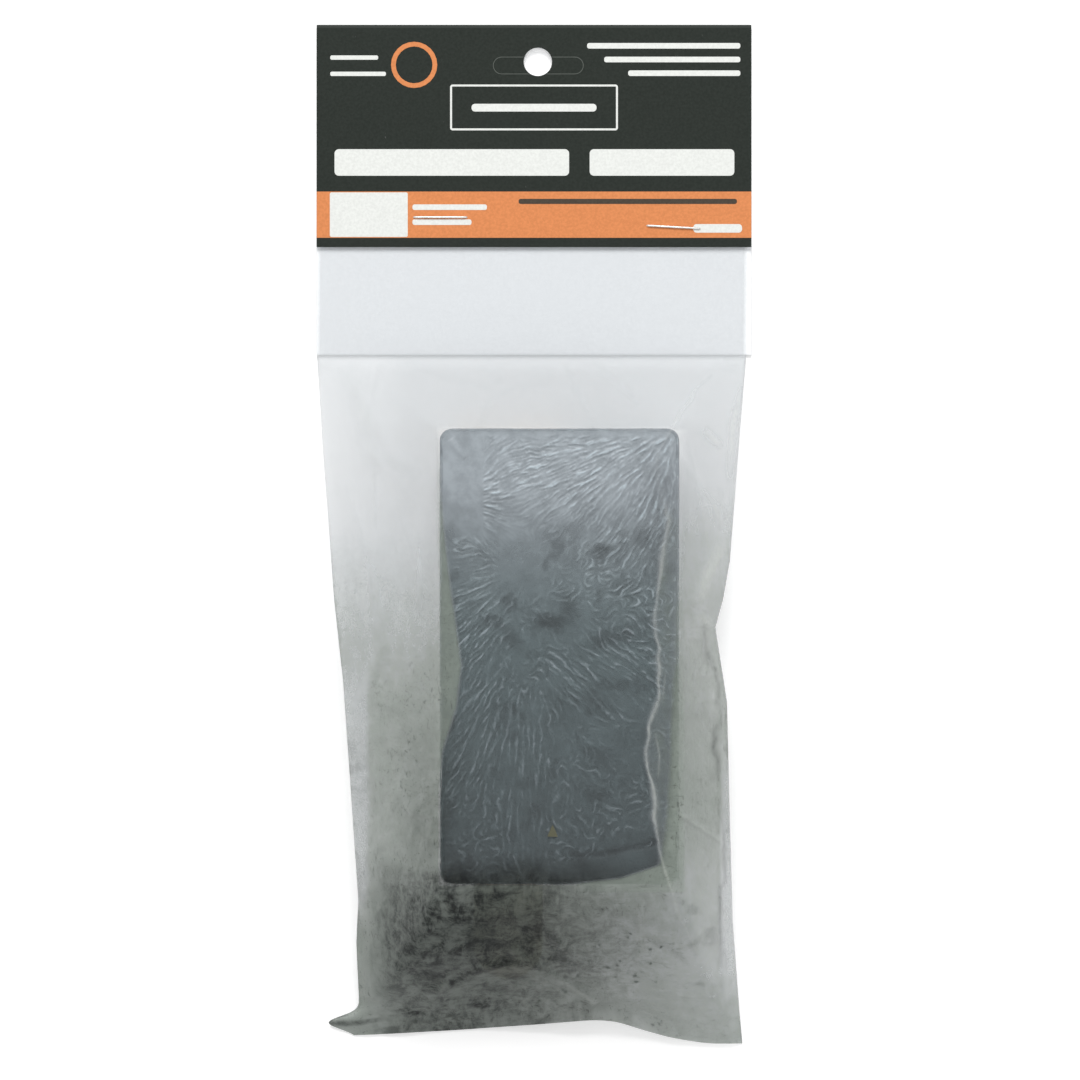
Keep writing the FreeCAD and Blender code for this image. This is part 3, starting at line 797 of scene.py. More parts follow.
# Lesser folds: path, width, height, and how strongly the painted highlight along the fold shows.
FOLDS = [
    ([(-44.0, 40.0), (-41.1, 34.0), (-38.4, 25.0), (-36.0, 14.0)], 3.4, 0.4, 0.20),
    ([(-38.0, 19.6), (-32.0, 16.5), (-26.0, 14.0)], 2.2, 0.3, 0.13),
    ([(48.8, 36.0), (46.4, 26.0), (45.4, 12.0)], 1.4, 0.5, 0.30),
    ([(39.0, 24.5), (42.0, 21.8), (44.2, 20.4)], 1.6, 0.5, 0.30),
    ([(38.0, 12.0), (42.0, 7.0), (43.6, 1.0)], 1.0, 0.3, 0.20),
    ([(37.6, -17.0), (40.4, -9.0), (45.0, 0.0)], 2.6, 0.8, 0.30),
    ([(37.0, -18.6), (40.0, -20.0), (42.2, -21.6)], 1.6, 0.5, 0.24),
    ([(31.5, 20.0), (38.0, 12.0), (40.5, -8.0)], 1.2, 0.7, 0.10),
    ([(-44.0, 12.0), (-38.0, -8.0), (-34.0, -30.0)], 1.5, 0.6, 0.08),
    ([(-30.0, 40.0), (-8.0, 33.0), (12.0, 38.0)], 1.6, 0.4, 0.06),
    ([(-43.0, 36.0), (-30.0, 15.0)], 1.2, 0.4, 0.0),
    ([(30.4, -31.5), (29.6, -39.0)], 0.32, 0.3, 0.22),
    ([(28.0, -45.8), (29.0, -51.0), (28.6, -56.5)], 0.36, 0.3, 0.26),
    ([(3.4, -102.6), (7.9, -106.4), (14.6, -113.4)], 1.3, 1.3, 0.14),
    ([(44.2, -42.0), (43.4, -60.0), (43.6, -84.0), (44.4, -108.0)], 0.6, 0.6, 0.16),
    ([(38.5, -32.0), (42.5, -23.0)], 1.0, -0.7, 0.0),
    ([(-42.0, -28.0), (-36.0, -60.0), (-36.5, -84.0)], 1.8, 0.6, 0.03),
    ([(-23.0, -83.0), (-38.0, -110.0)], 2.5, 1.0, 0.0),
    ([(-22.5, 25.5), (-40.0, 40.0)], 2.2, 0.7, 0.0),
]
# Dark lines of dust caught in folds: path, width and strength.
DUST_LINES = [
    ([(38.7, -21.0), (41.7, -34.9), (43.2, -42.7)], 0.7, 0.30),
    ([(42.6, -42.0), (42.8, -50.0), (43.0, -57.0)], 1.1, 0.42),
    ([(43.6, -56.0), (43.5, -75.0), (44.0, -100.0)], 0.6, 0.34),
    ([(-44.6, -113.2), (-40.0, -116.4), (-30.0, -116.6)], 1.0, 0.60),
    ([(10.0, -98.0), (15.5, -108.0), (17.0, -114.0)], 1.6, 0.30),
    ([(22.0, -92.0), (31.0, -95.0), (36.0, -101.0)], 1.2, 0.26),
    ([(-38.2, -84.0), (-37.6, -100.0), (-38.4, -112.0)], 0.9, 0.30),
    ([(-48.0, -115.2), (-44.0, -113.4), (-41.0, -114.0)], 0.8, 0.9),
]
# The arched fold over the foot of the bag; the film below it is pressed clear of the heap.
TENT = [
    (-40.0, -114.0), (-25.2, -108.2), (-17.3, -105.7), (-13.1, -102.2), (-9.6, -101.0),
    (-2.1, -100.3), (3.3, -103.1), (7.9, -106.4), (13.1, -111.8), (49.0, -117.0),
]
# Soot heaped inside the foot of the bag: how thick it lies across and along the bag.
SOOT_ACROSS = [
    (38.0, 0.0), (27.0, 0.16), (22.0, 0.26), (17.0, 0.38), (12.0, 0.52), (2.0, 0.68), (-8.0, 0.80),
    (-18.0, 0.88), (-28.0, 0.80), (-33.0, 0.62), (-38.0, 0.24), (-42.0, 0.10),
]
SOOT_ALONG = [
    (-74.0, 0.0), (-79.0, 0.62), (-84.0, 0.82), (-92.0, 1.0), (-100.0, 0.98), (-106.0, 0.84),
    (-120.0, 0.80),
]
# Patches of it, and last a long darker patch along the block's left side: X, Y, reach across, reach along,
# strength.
SOOT = [
    (-12.0, -93.0, 9.0, 7.0, 1.02),
    (-23.0, -102.0, 5.5, 7.0, 1.04),
    (-13.0, -112.0, 6.0, 3.2, 1.0),
    (-28.0, -114.4, 7.0, 2.6, 1.0),
    (-11.0, -84.0, 9.0, 4.5, 0.94),
    (-45.5, -114.6, 3.2, 2.0, 0.8),
    (-25.0, -68.0, 6.5, 26.0, 0.34),
]
# Grey dust on the film, down the bag's left and right: Y and strength.
DUST_LEFT = [
    (42.0, 0.0), (20.0, 0.0), (0.0, 0.05), (-15.0, 0.21), (-38.0, 0.42), (-62.0, 0.44),
    (-80.0, 0.50), (-119.0, 0.50),
]
DUST_RIGHT = [
    (42.0, 0.0), (13.0, 0.06), (-6.0, 0.28), (-38.0, 0.38), (-62.0, 0.52), (-80.0, 0.32),
    (-100.0, 0.30), (-119.0, 0.40),
]


def ridge_line(y):
    """The crease's X at any Y, rounded off where its runs meet."""
    places = np.arange(45.0, -112.0, -0.25)
    line = np.interp(-places, [-row[0] for row in RIDGE], [row[1] for row in RIDGE])
    line = blur(np.repeat(line[:, None], 2, axis=1), 4.0)[:, 0]
    line = line + 0.7 * (lattice_noise(places, places * 0 + 3.0, 2.6, 61) - 0.5)
    return np.interp(-y, -places, line)


def ridge_shows(y):
    """How plainly the crease shows at any Y."""
    return np.interp(-y, [-row[0] for row in RIDGE], [row[2] for row in RIDGE], 0, 0)


def film_sections(rows):
    """Front and back surface points of the bag for each row, from side edge to side edge."""
    left, right = follow(LEFT_EDGE, rows), follow(RIGHT_EDGE, rows)
    rise = follow(EDGE_RISE, rows)
    shoulders = follow(LEFT_SHOULDER, rows), follow(RIGHT_SHOULDER, rows)
    top = follow(FRONT_RISE, rows)
    front_share = np.linspace(0, 1, FRONT_COLUMNS)
    back_share = np.linspace(1, 0, BACK_COLUMNS)
    front_x = left[:, None] + (right - left)[:, None] * front_share
    back_x = left[:, None] + (right - left)[:, None] * back_share
    front_z = np.array([
        np.interp(front_x[i], (left[i], shoulders[0][i], shoulders[1][i], right[i]),
                  (rise[i], top[i], top[i], rise[i]))
        for i in range(len(rows))
    ])
    ground = np.where(rows > 42.0, 1.05, np.interp(rows, (36.0, 42.0), (0.06, 1.05)))
    flat_left = np.interp(rows, (-119.2, -100.0, 30.0), (-40.0, -34.0, -25.0))
    flat_right = np.interp(rows, (-119.2, -100.0, 30.0), (47.0, 39.0, 36.0))
    back_z = np.array([
        np.interp(back_x[i], (left[i], flat_left[i], flat_right[i], right[i]),
                  (rise[i], ground[i], ground[i], rise[i]))
        for i in range(len(rows))
    ])
    return (front_x, front_z), (back_x, back_z)


def relief(x, y):
    """Folds and small waves that stand out of the front film."""
    gap = np.abs(x - ridge_line(y))
    height = 1.0 * np.exp(-((gap / 0.6) ** 2)) * ridge_shows(y)
    for path, width, lift, _ in FOLDS:
        height += lift * crease(x, y, path, width)
    loose = ramp(y, 66.0, 20.0) * (1 - 0.85 * over_block(x, y))
    height += loose * 1.5 * (layered_noise(x, y, 13.0, 5) - 0.5)
    height += loose * 0.35 * (layered_noise(x, y, 3.2, 9) - 0.5)
    for path, width, lift, _ in slack_creases():
        height += loose * lift * crease(x, y, path, width)
    height += 1.3 * crease(x, y, TENT[1:-1], 2.0)
    below = ramp(y, -84.0, -96.0)
    height += below * 3.0 * (layered_noise(x, y, 16.0, 21, 2) - 0.5)
    return height


def slack_creases():
    """Short straight creases scattered over the slack film, in the same form as FOLDS."""
    random = np.random.default_rng(404)
    creases = []
    for _ in range(46):
        x, y = random.uniform(-46, 46), random.uniform(-114, 40)
        turn = math.radians(random.normal(90, 32))
        half = random.uniform(3, 11)
        reach = np.array([math.cos(turn), math.sin(turn)]) * half
        path = [(x - reach[0], y - reach[1]), (x + reach[0], y + reach[1])]
        width = random.uniform(0.6, 1.3)
        creases.append((path, width, random.uniform(0.2, 0.6), random.uniform(0.03, 0.13)))
    return creases


def over_block(x, y):
    """1 where the film lies on the block's front, 0 away from it."""
    across = ramp(x, WRAP_LOW[0], WRAP_LOW[0] + 3) * ramp(x, WRAP_HIGH[0], WRAP_HIGH[0] - 3)
    along = ramp(y, WRAP_LOW[1], WRAP_LOW[1] + 3) * ramp(y, WRAP_HIGH[1], WRAP_HIGH[1] - 3)
    return across * along


# The film clings to the block's front between these two lines: Y, then X.
CLING_LEFT = [
    (25.0, -22.2), (9.0, -21.4), (-5.0, -20.2), (-17.0, -18.6), (-30.0, -16.8), (-40.0, -18.0),
    (-50.0, -21.2), (-60.0, -21.9), (-82.0, -21.9),
]
CLING_RIGHT = [(25.0, 34.4), (0.0, 33.4), (-20.0, 32.2), (-40.0, 31.8), (-62.0, 30.8), (-82.0, 28.6)]


def cling(x, y):
    """1 where the bag lies so close on the block that it hides almost nothing."""
    foot = np.interp(x, (-22.0, 8.0, 20.0, 29.0), (-81.0, -80.8, -79.4, -76.4))
    left, right = follow(CLING_LEFT, y), follow(CLING_RIGHT, y)
    across = ramp(x, left - 0.6, left + 0.6) * ramp(x, right + 1.8, right - 1.4)
    along = ramp(y, foot - 0.4, foot + 0.6) * ramp(y, WRAP_HIGH[1] + 0.4, WRAP_HIGH[1] - 0.8)
    return across * along


def side_dust(x, y):
    """Dust strength that changes from the bag's left side to its right."""
    share = ramp(x, -20.0, 30.0)
    return follow(DUST_LEFT, y) * (1 - share) + follow(DUST_RIGHT, y) * share


def front_masks(x, y):
    """Haze, dust, soot, and painted highlights along the creases, on the front film."""
    bent_x = x + 4.0 * (layered_noise(x, y, 7.0, 33) - 0.5)
    bent_y = y + 4.0 * (layered_noise(x, y, 7.0, 35) - 0.5)
    cloud = layered_noise(bent_x, bent_y, 10.0, 31, 4)
    streak = layered_noise(x * 2.2, y * 0.6, 5.0, 37)
    beyond = ramp(x - ridge_line(y), -0.4, 0.6)
    window = cling(x, y)
    covered = window * (1 - beyond)
    dust = side_dust(x, y) * (0.66 + 0.68 * (0.65 * cloud + 0.35 * streak))
    dust *= 1 - 0.97 * window
    strip = window * beyond * ramp(y, 16.0, -2.0)
    dust = np.maximum(dust, strip * (0.07 + 0.26 * streak))
    slack_left = over_block(x + 1.5, y) * (1 - window) * ramp(x, -14.0, -16.0)
    dust = np.maximum(dust, slack_left * 0.5 * ramp(y, -58.0, -34.0))
    hidden_corner = (1 - window) * ramp(x, 4.0, 14.0) * ramp(x, 35.6, 34.2) * ramp(y, -83.2, -82.0)
    dust = np.maximum(dust, 0.66 * hidden_corner * ramp(y, -14.0, -44.0))
    clear_right = ramp(x, 42.6, 44.0) * ramp(y, -44.0, -58.0) * ramp(y, -112.0, -96.0)
    clear_left = ramp(x, -37.4, -39.4) * ramp(y, -26.0, -38.0) * ramp(y, -94.0, -82.0)
    dust *= (1 - 0.55 * clear_right) * (1 - 0.62 * clear_left)
    soot = follow(SOOT_ACROSS, bent_x) * follow(SOOT_ALONG, bent_y)
    for centre_x, centre_y, across, along, strength in SOOT:
        heap = strength * spot(bent_x, bent_y, centre_x, centre_y, across, along)
        soot = np.maximum(soot, heap)
    soot *= 0.88 + 0.22 * layered_noise(bent_x, bent_y, 4.0, 43)
    tent_x, tent_y = zip(*TENT)
    soot *= 1 - 0.14 * ramp(np.interp(x, tent_x, tent_y) - y, -0.3, 1.2)
    for path, width, shows in DUST_LINES:
        soot = np.maximum(soot, shows * crease(bent_x, bent_y, path, width))
    smear = ramp(layered_noise(bent_x, bent_y * 1.6, 6.0, 47, 4), 0.60, 0.78)
    soot = np.maximum(soot, 0.20 * smear * ramp(y, -20.0, -70.0) * (1 - covered))
    # pale: painted highlights along the pinched crease, the slack creases and the folds.
    gap = np.abs(x - ridge_line(y))
    width = 0.38 + 0.5 * lattice_noise(x * 0, y, 5.0, 63)
    pale = ridge_shows(y) * np.exp(-((gap / width) ** 2)) * (0.6 + 0.6 * streak)
    slack = ramp(y, 42.0, 38.0) * (1 - over_block(x, y))
    for path, width, _, shows in slack_creases():
        pale = np.maximum(pale, slack * (1 - 0.8 * soot) * shows * crease(x, y, path, 0.8 * width))
    for path, width, _, shows in FOLDS:
        pale = np.maximum(pale, shows * crease(x, y, path, 0.8 * width))
        soot *= 1 - min(1.0, 1.6 * shows) * crease(x, y, path, 1.4 * width)
    haze = 0.32 + 0.06 * ramp(y, 36.0, 41.0) - 0.09 * ramp(x, -28.0, -38.0) * ramp(y, -8.0, 10.0)
    haze = haze * (1 - 0.88 * window) * (1 - 0.97 * ramp(y, 41.2, 42.6))
    return haze, dust, np.clip(soot, 0, 1), np.clip(pale, 0, 1)


def back_masks(x, y):
    """Haze, dust and soot on the back film."""
    cloud = layered_noise(x, y, 11.0, 51)
    dust = 0.5 * side_dust(x, y) * (0.75 + 0.5 * cloud)
    soot = 0.6 * spot(x, y, -16.0, -98.0, 20.0, 12.0) * (0.6 + 0.8 * cloud)
    return np.full_like(x, 0.22), dust, soot, np.zeros_like(x)


def seam_warp(x, y, z):
    """Draw the last rows of the bag down to its wavy foot seam."""
    seam_x, seam_y, seam_z = zip(*FOOT_SEAM)
    places = np.linspace(seam_x[0], seam_x[-1], 240)
    seam = np.stack([np.interp(places, seam_x, seam_y), np.interp(places, seam_x, seam_z)], axis=1)
    smooth_y, smooth_z = (blur(seam[:, [i, i]], 5.0)[:, 0] for i in (0, 1))
    share = np.clip((SEAM_START - y) / (SEAM_START - POUCH_FOOT), 0, 1)
    target = np.interp(x, places, smooth_y)
    lift = np.interp(x, places, smooth_z)
    moved = y + share * (target - POUCH_FOOT)
    return moved, z + (lift - 0.6) * share ** 2


def ear_warp(x, y):
    """Pull the lower left corner out into its small pointed ear."""
    pull = spot(x, y, EAR_ROOT, EAR_ALONG, 3.2, 2.2)
    return x + pull * (EAR_TIP - EAR_ROOT)


def make_bag():
    """The bag as one closed tube of film, cut into three where it bends and where it slides."""
    cuts = (NECK_HIGH[1], 39.7, -28.0, POUCH_FOOT)
    parts = [
        np.linspace(start, end, max(3, int(round((start - end) / ROW_STEP))))
        for start, end in zip(cuts, cuts[1:])
    ]
    rows = np.concatenate([parts[0], parts[1][1:], parts[2][1:]])
    (front_x, front_z), (back_x, back_z) = film_sections(rows)
    cells = 1.0 / ROW_STEP
    front_y = np.repeat(rows[:, None], FRONT_COLUMNS, axis=1)
    back_y = np.repeat(rows[:, None], BACK_COLUMNS, axis=1)
    edge = front_z[:, :1], front_z[:, -1:]
    front_z = blur(front_z, cells)
    settle = np.minimum(np.linspace(0, 1, FRONT_COLUMNS) * 30, 1)
    settle = np.minimum(settle, settle[::-1])
    front_z = front_z + settle * relief(front_x, front_y) * ramp(front_y, 66.0, 60.0)
    front_z[:, :1], front_z[:, -1:] = edge
    floor = np.where(over_block(front_x, front_y) > 0.01, BLOCK_TOP - 0.1, 0.1)
    front_z = np.maximum(front_z, floor)
    back_z = blur(back_z, cells)
    back_z[:, 0], back_z[:, -1] = front_z[:, -1], front_z[:, 0]
    masks = [
        np.concatenate([front, back[:, 1:-1]], axis=1)
        for front, back in zip(front_masks(front_x, front_y), back_masks(back_x, back_y))
    ]
    x = np.concatenate([front_x, back_x[:, 1:-1]], axis=1)
    y = np.concatenate([front_y, back_y[:, 1:-1]], axis=1)
    z = np.concatenate([front_z, back_z[:, 1:-1]], axis=1)
    y, z = seam_warp(x, y, z)
    x = ear_warp(x, y)
    points = np.stack([x, y, np.maximum(z, 0.03)], axis=2)
    normals = grid_normals(points, closed=True)
    material = film_material("bag_film")
    pieces = []
    start = 0
    for name, part in zip(("bag_film_neck", "bag_film_upper", "bag_film_lower"), parts):
        stop = start + len(part)
        piece = film_piece(name, points[start:stop], normals[start:stop], material)
        for title, values in zip(("haze", "dust", "soot", "pale"), masks):
            paint(piece, title, values[start:stop])
        pieces.append(piece)
        start = stop - 1
    neck, upper, lower = pieces
    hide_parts("bag_neck_film")
    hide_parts("bag_front_film", "bag_back_film")
    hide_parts("bag_bottom_seal")
    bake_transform(neck)
    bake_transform(upper)
    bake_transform(lower)


def film_piece(name, points, normals, material):
    """One stretch of the bag, its shading continuous with the next."""
    rows, columns = points.shape[:2]
    flat = points.reshape(-1, 3)
    away = np.hypot(flat[:, 0] - HOLE_X, flat[:, 1] - HOLE_Y)
    faces = [
        face for face in grid_faces(rows, columns, closed=True)
        if min(away[i] for i in face) > HOLE_RADIUS + 0.1
    ]
    piece = link_mesh(name, flat, faces)
    piece.data.normals_split_custom_set_from_vertices(normals.reshape(-1, 3).tolist())
    piece.data.materials.append(material)
    return piece


make_bag()


# ---- wrapped block ----------------------------------------------------------------------------

def towards(x, y, centre):
    """Direction of the line from a centre to each point, in radians."""
    return np.arctan2(y - centre[1], x - centre[0])


def wrinkle_directions(x, y):
    """Which way the wrap film's wrinkles run: they spread from where the film is pulled."""
    pulls = [
        (towards(x, y, (33.5, 24.5)), 1.5 * spot(x, y, 16.0, 14.0, 20.0, 14.0)),
        (towards(x, y, (-18.0, 8.0)), 4.0 * spot(x, y, -9.0, 8.5, 4.0, 9.5)),
        (towards(x, y, (5.0, -4.0)), 2.0 * spot(x, y, -14.5, -20.0, 7.0, 14.0)),
        (towards(x, y, (2.6, -24.5)), 0.6 * spot(x, y, 15.0, -36.0, 12.0, 11.0)),
        (math.radians(88), 1.8 * spot(x, y, -2.0, -58.0, 8.0, 16.0)),
        (math.radians(57), 1.6 * spot(x, y, -16.0, -50.0, 6.0, 12.0)),
        (math.radians(52), 1.2 * spot(x, y, 24.0, -2.0, 7.0, 8.0)),
        (math.radians(-38), 1.4 * spot(x, y, 16.0, -33.0, 11.0, 10.0)),
    ]
    astray = 3.2 * math.pi * layered_noise(x, y, 4.5, 301, 2)
    curly = 0.35 + 1.8 * spot(x, y, 18.0, -58.0, 13.0, 15.0) + 1.4 * spot(x, y, 16.0, -16.0, 8.0, 7.0)
    curly = curly + 0.9 * spot(x, y, -16.0, -70.0, 8.0, 9.0)
    pulls.append((astray, curly))
    across = sum(weight * np.cos(2 * angle) for angle, weight in pulls)
    along = sum(weight * np.sin(2 * angle) for angle, weight in pulls)
    wander = 0.3 * (layered_noise(x, y, 2.6, 311, 2) - 0.5)
    return 0.5 * np.arctan2(along, across) + wander


def strokes(x, y, angle, cell, reach, seed):
    """Noise smeared along the given directions, from about -1 to 1."""
    step = abs(x[0, 1] - x[0, 0])
    total = np.zeros_like(x)
    for sign in (1, -1):
        row, column = np.mgrid[0:x.shape[0], 0:x.shape[1]].astype(float)
        move_x, move_y = sign * np.cos(angle), sign * np.sin(angle)
        for _ in range(int(reach / step)):
            total += lattice_noise(x[0, 0] + column * step, y[0, 0] - row * step, cell, seed)
            column = np.clip(column + move_x, 0, x.shape[1] - 1)
            row = np.clip(row - move_y, 0, x.shape[0] - 1)
            there = angle[row.astype(int), column.astype(int)]
            turn = np.where(np.cos(there) * move_x + np.sin(there) * move_y < 0, -1, 1)
            move_x, move_y = turn * np.cos(there), turn * np.sin(there)
    total = blur(total, 0.85) - blur(total, 4.5)
    local = np.sqrt(blur(total ** 2, 18.0) + 0.3 * np.mean(total ** 2))
    return np.clip(0.58 * total / local, -1, 1)


def wrinkles(x, y):
    """The wrap film's wrinkles: up to 1 on their crests, down to -1 between them."""
    angle = wrinkle_directions(x, y)
    long_ones = strokes(x, y, angle, 0.38, 2.4, 321)
    short_ones = strokes(x, y, angle + 0.15, 0.30, 1.1, 331)
    height = np.clip(0.85 * long_ones + 0.45 * short_ones, -1, 1)
    smooth = ramp(x, -11.0, -12.2) * ramp(y, -3.0, 1.0)
    smooth = np.maximum(smooth, 0.9 * spot(x, y, -1.5, -6.0, 9.0, 11.0) ** 0.7)
    smooth = np.maximum(smooth, 0.8 * spot(x, y, -3.6, -28.0, 3.0, 5.0))
    smooth = np.maximum(smooth, 0.85 * ramp(x, -17.6, -19.4) * ramp(y, 4.0, -4.0) * ramp(y, -52.0, -42.0))
    smooth = np.maximum(smooth, 0.7 * ramp(y, 21.8, 23.0))
    smooth = np.maximum(smooth, end_fold(x, y))
    weak = 0.35 + 0.60 * ramp(layered_noise(x, y, 6.0, 341), 0.3, 0.6)
    weak = np.maximum(weak, 1.35 * spot(x, y, -9.4, 8.5, 3.0, 9.0))
    weak = np.maximum(weak, 1.3 * spot(x, y, -14.0, -22.0, 6.5, 13.0))
    return height * np.clip(1 - smooth, 0, 1) * weak * follow(CREST_SHOWS, y)


# How plainly the wrinkles show down the block's front, in relief and in their painted highlights: Y and
# strength.
CREST_SHOWS = [(25.0, 0.85), (0.0, 0.95), (-20.0, 1.1), (-45.0, 0.85), (-81.0, 0.8)]


def end_fold(x, y):
    """The plain folded band of wrap at the block's foot, mostly on the right."""
    edge = np.interp(x, (-20.0, 14.0, 28.0), (-79.0, -74.6, -72.0))
    return ramp(y, edge + 0.5, edge - 0.5) * ramp(x, -8.0, 12.0)


# How milky the wrap looks down the block's front, with a painted sheen that is strongest at the top: Y and
# haze.
WRAP_HAZE_AND_SHEEN = [
    (25.0, 0.80), (14.0, 0.78), (8.0, 0.70), (1.0, 0.53), (-6.0, 0.40), (-20.0, 0.26),
    (-40.0, 0.19), (-62.0, 0.14), (-72.0, 0.10), (-81.0, 0.03),
]
WRAP_STEP = 0.15
WRAP_CORNER = 3.0
WRAP_EDGE = 0.9


# Charcoal smears on the wrap: X, Y, reach across and along.
SMEARS = [(2.8, -20.0, 3.6, 1.3), (20.0, -23.5, 4.2, 1.8), (16.0, -3.4, 3.6, 1.0), (8.0, -17.0, 2.0, 3.0)]


def wrap_haze_and_sheen(x, y, height):
    """Haze on the wrap's front, with painted light in it: a painted sheen that fades down the block, a
    painted shadow line above the end fold, and painted highlights on the wrinkle crests with painted shade
    between them.
    """
    # The haze down the block stands in partly for a painted sheen, strongest at the top.
    haze = follow(WRAP_HAZE_AND_SHEEN, y + 6.0 * (layered_noise(x, y, 12.0, 351) - 0.5))
    haze = haze + 0.02 * end_fold(x, y)
    # A painted shadow line above the end fold.
    shadow = crease(x, y, [(8.0, -73.6), (16.0, -73.4), (28.6, -70.8)], 0.9)
    haze = haze * (1 - 0.7 * shadow)
    right_fall = ramp(x, 18.0, 30.0) * ramp(y, -14.0, 2.0) * ramp(y, 22.0, 12.0)
    haze = haze * (1 - 0.22 * right_fall)
    smudge = ramp(layered_noise(x, y, 5.0, 361, 4), 0.56, 0.74) * ramp(y, 8.0, -6.0)
    haze = haze * (1 - 0.35 * smudge)
    for centre_x, centre_y, across, along in SMEARS:
        haze = haze * (1 - 0.5 * spot(x, y, centre_x, centre_y, across, along))
    # Painted highlights on the wrinkle crests, painted shade between them.
    return haze * (1 + 0.22 * height)


def slab_loop(low, high, corner, count):
    """Points and outward directions evenly round a rounded rectangle."""
    shape = np.array(outline(low[0], high[0], low[1], high[1], corner, 10))
    shape = np.vstack([shape, shape[:1]])
    runs = np.linalg.norm(np.diff(shape, axis=0), axis=1)
    places = np.concatenate([[0], np.cumsum(runs)])
    even = np.linspace(0, places[-1], count, endpoint=False)
    loop = np.stack([np.interp(even, places, shape[:, i]) for i in (0, 1)], axis=1)
    inner = np.clip(loop, np.array(low[:2]) + corner, np.array(high[:2]) - corner)
    away = loop - inner
    return loop, away / np.linalg.norm(away, axis=1, keepdims=True)


def slab_rings(low, high, corner, edge, step, front=True):
    """Rings of points over a rounded slab, from its front middle over the edges to its back."""
    middle = (np.array(low[:2]) + np.array(high[:2])) / 2
    perimeter = 2 * (high[0] - low[0] + high[1] - low[1])
    loop, away = slab_loop(low, high, corner, int(perimeter / step))
    turns = np.linspace(0, math.pi / 2, 6)
    sides = np.arange(high[2] - edge - step, low[2] + edge, -step)
    profile = [(edge * (1 - math.sin(t)), high[2] - edge * (1 - math.cos(t)), math.sin(t), math.cos(t))
               for t in turns]
    profile += [(0.0, z, 1.0, 0.0) for z in sides]
    profile += [(edge * (1 - math.cos(t)), low[2] + edge * (1 - math.sin(t)), math.cos(t), -math.sin(t))
                for t in turns]
    caps = np.linspace(0.02, 0.99, int((high[1] - low[1]) / 2 / step))
    points, normals = [], []

    def cap(share, z, up):
        points.append(np.column_stack([middle + (loop - edge * away - middle) * share,
                                       np.full(len(loop), z)]))
        normals.append(np.tile((0.0, 0.0, up), (len(loop), 1)))

    for share in caps if front else ():
        cap(share, high[2], 1.0)
    for inset, z, flat, up in profile:
        points.append(np.column_stack([loop - inset * away, np.full(len(loop), z)]))
        normals.append(np.column_stack([away * flat, np.full(len(loop), up)]))
    for share in caps[::-1]:
        cap(share, low[2], -1.0)
    return np.array(points), np.array(normals)


def slab_piece(name, points):
    """A slab from its rings, the small opening at its last ring closed."""
    rows, columns = points.shape[:2]
    faces = [tuple(reversed(face)) for face in grid_faces(rows, columns, closed=True)]
    last = (rows - 1) * columns
    faces.append(tuple(reversed(range(last, last + columns))))
    return link_mesh(name, points.reshape(-1, 3), faces)


def wrap_front_grid():
    """X and Y of the wrap's front sheet: a fine grid drawn in at the rounded corners."""
    low, high = WRAP_LOW + WRAP_EDGE - 0.15, WRAP_HIGH - WRAP_EDGE + 0.15
    corner = WRAP_CORNER - WRAP_EDGE
    x, y = np.meshgrid(np.arange(low[0], high[0], WRAP_STEP), np.arange(high[1], low[1], -WRAP_STEP))
    from_end = np.clip(np.minimum(high[1] - y, y - y.min()), 0, corner)
    drawn = corner - np.sqrt(corner ** 2 - (corner - from_end) ** 2)
    middle = (x.min() + x.max()) / 2
    half = (x.max() - x.min()) / 2
    return x, y, middle + (x - middle) * (half - drawn) / half


def make_wrap():
    """The film on the block: a finely wrinkled front in two sheets, and its sides and back."""
    material = wrap_material()
    even_x, y, x = wrap_front_grid()
    height = wrinkles(even_x, y)
    edge = np.minimum.reduce([even_x - even_x.min(), even_x.max() - even_x, y - y.min(), y.max() - y])
    z = WRAP_HIGH[2] - 0.06 + 0.16 * height
    z += 0.25 * (layered_noise(even_x, y, 14.0, 371) - 0.5)
    z += 0.35 * end_fold(even_x, y) + 0.4 * crease(even_x, y, [(-19.5, 22.0), (-16.0, 17.5)], 0.9)
    z = WRAP_HIGH[2] - 0.12 + (z - WRAP_HIGH[2] + 0.12) * ramp(edge, 0.0, 1.3)
    z = np.minimum(z, BLOCK_TOP - 0.12)
    # Haze with a painted sheen, and painted highlights and shade on the wrinkles.
    haze = wrap_haze_and_sheen(even_x, y, height)
    points = np.stack([x, y, z], axis=2)
    normals = -grid_normals(points)
    middle = len(y) // 2
    halves = {"wrap_front_upper": (0, middle + 1), "wrap_front_lower": (middle, len(y))}
    for name, (start, stop) in halves.items():
        faces = [tuple(reversed(face)) for face in grid_faces(stop - start, x.shape[1])]
        piece = link_mesh(name, points[start:stop].reshape(-1, 3), faces)
        vectors = normals[start:stop].reshape(-1, 3)
        piece.data.normals_split_custom_set_from_vertices(vectors.tolist())
        paint(piece, "haze", haze[start:stop])
        # Painted highlights on the wrinkle crests.
        paint(piece, "crest_highlight", np.maximum(height, 0)[start:stop])
        finish_wrap(piece, material)
    make_wrap_sides(material)


def finish_wrap(piece, material):
    """Common to every piece of the wrap film."""
    piece.data.materials.append(material)
    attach(piece, "block")


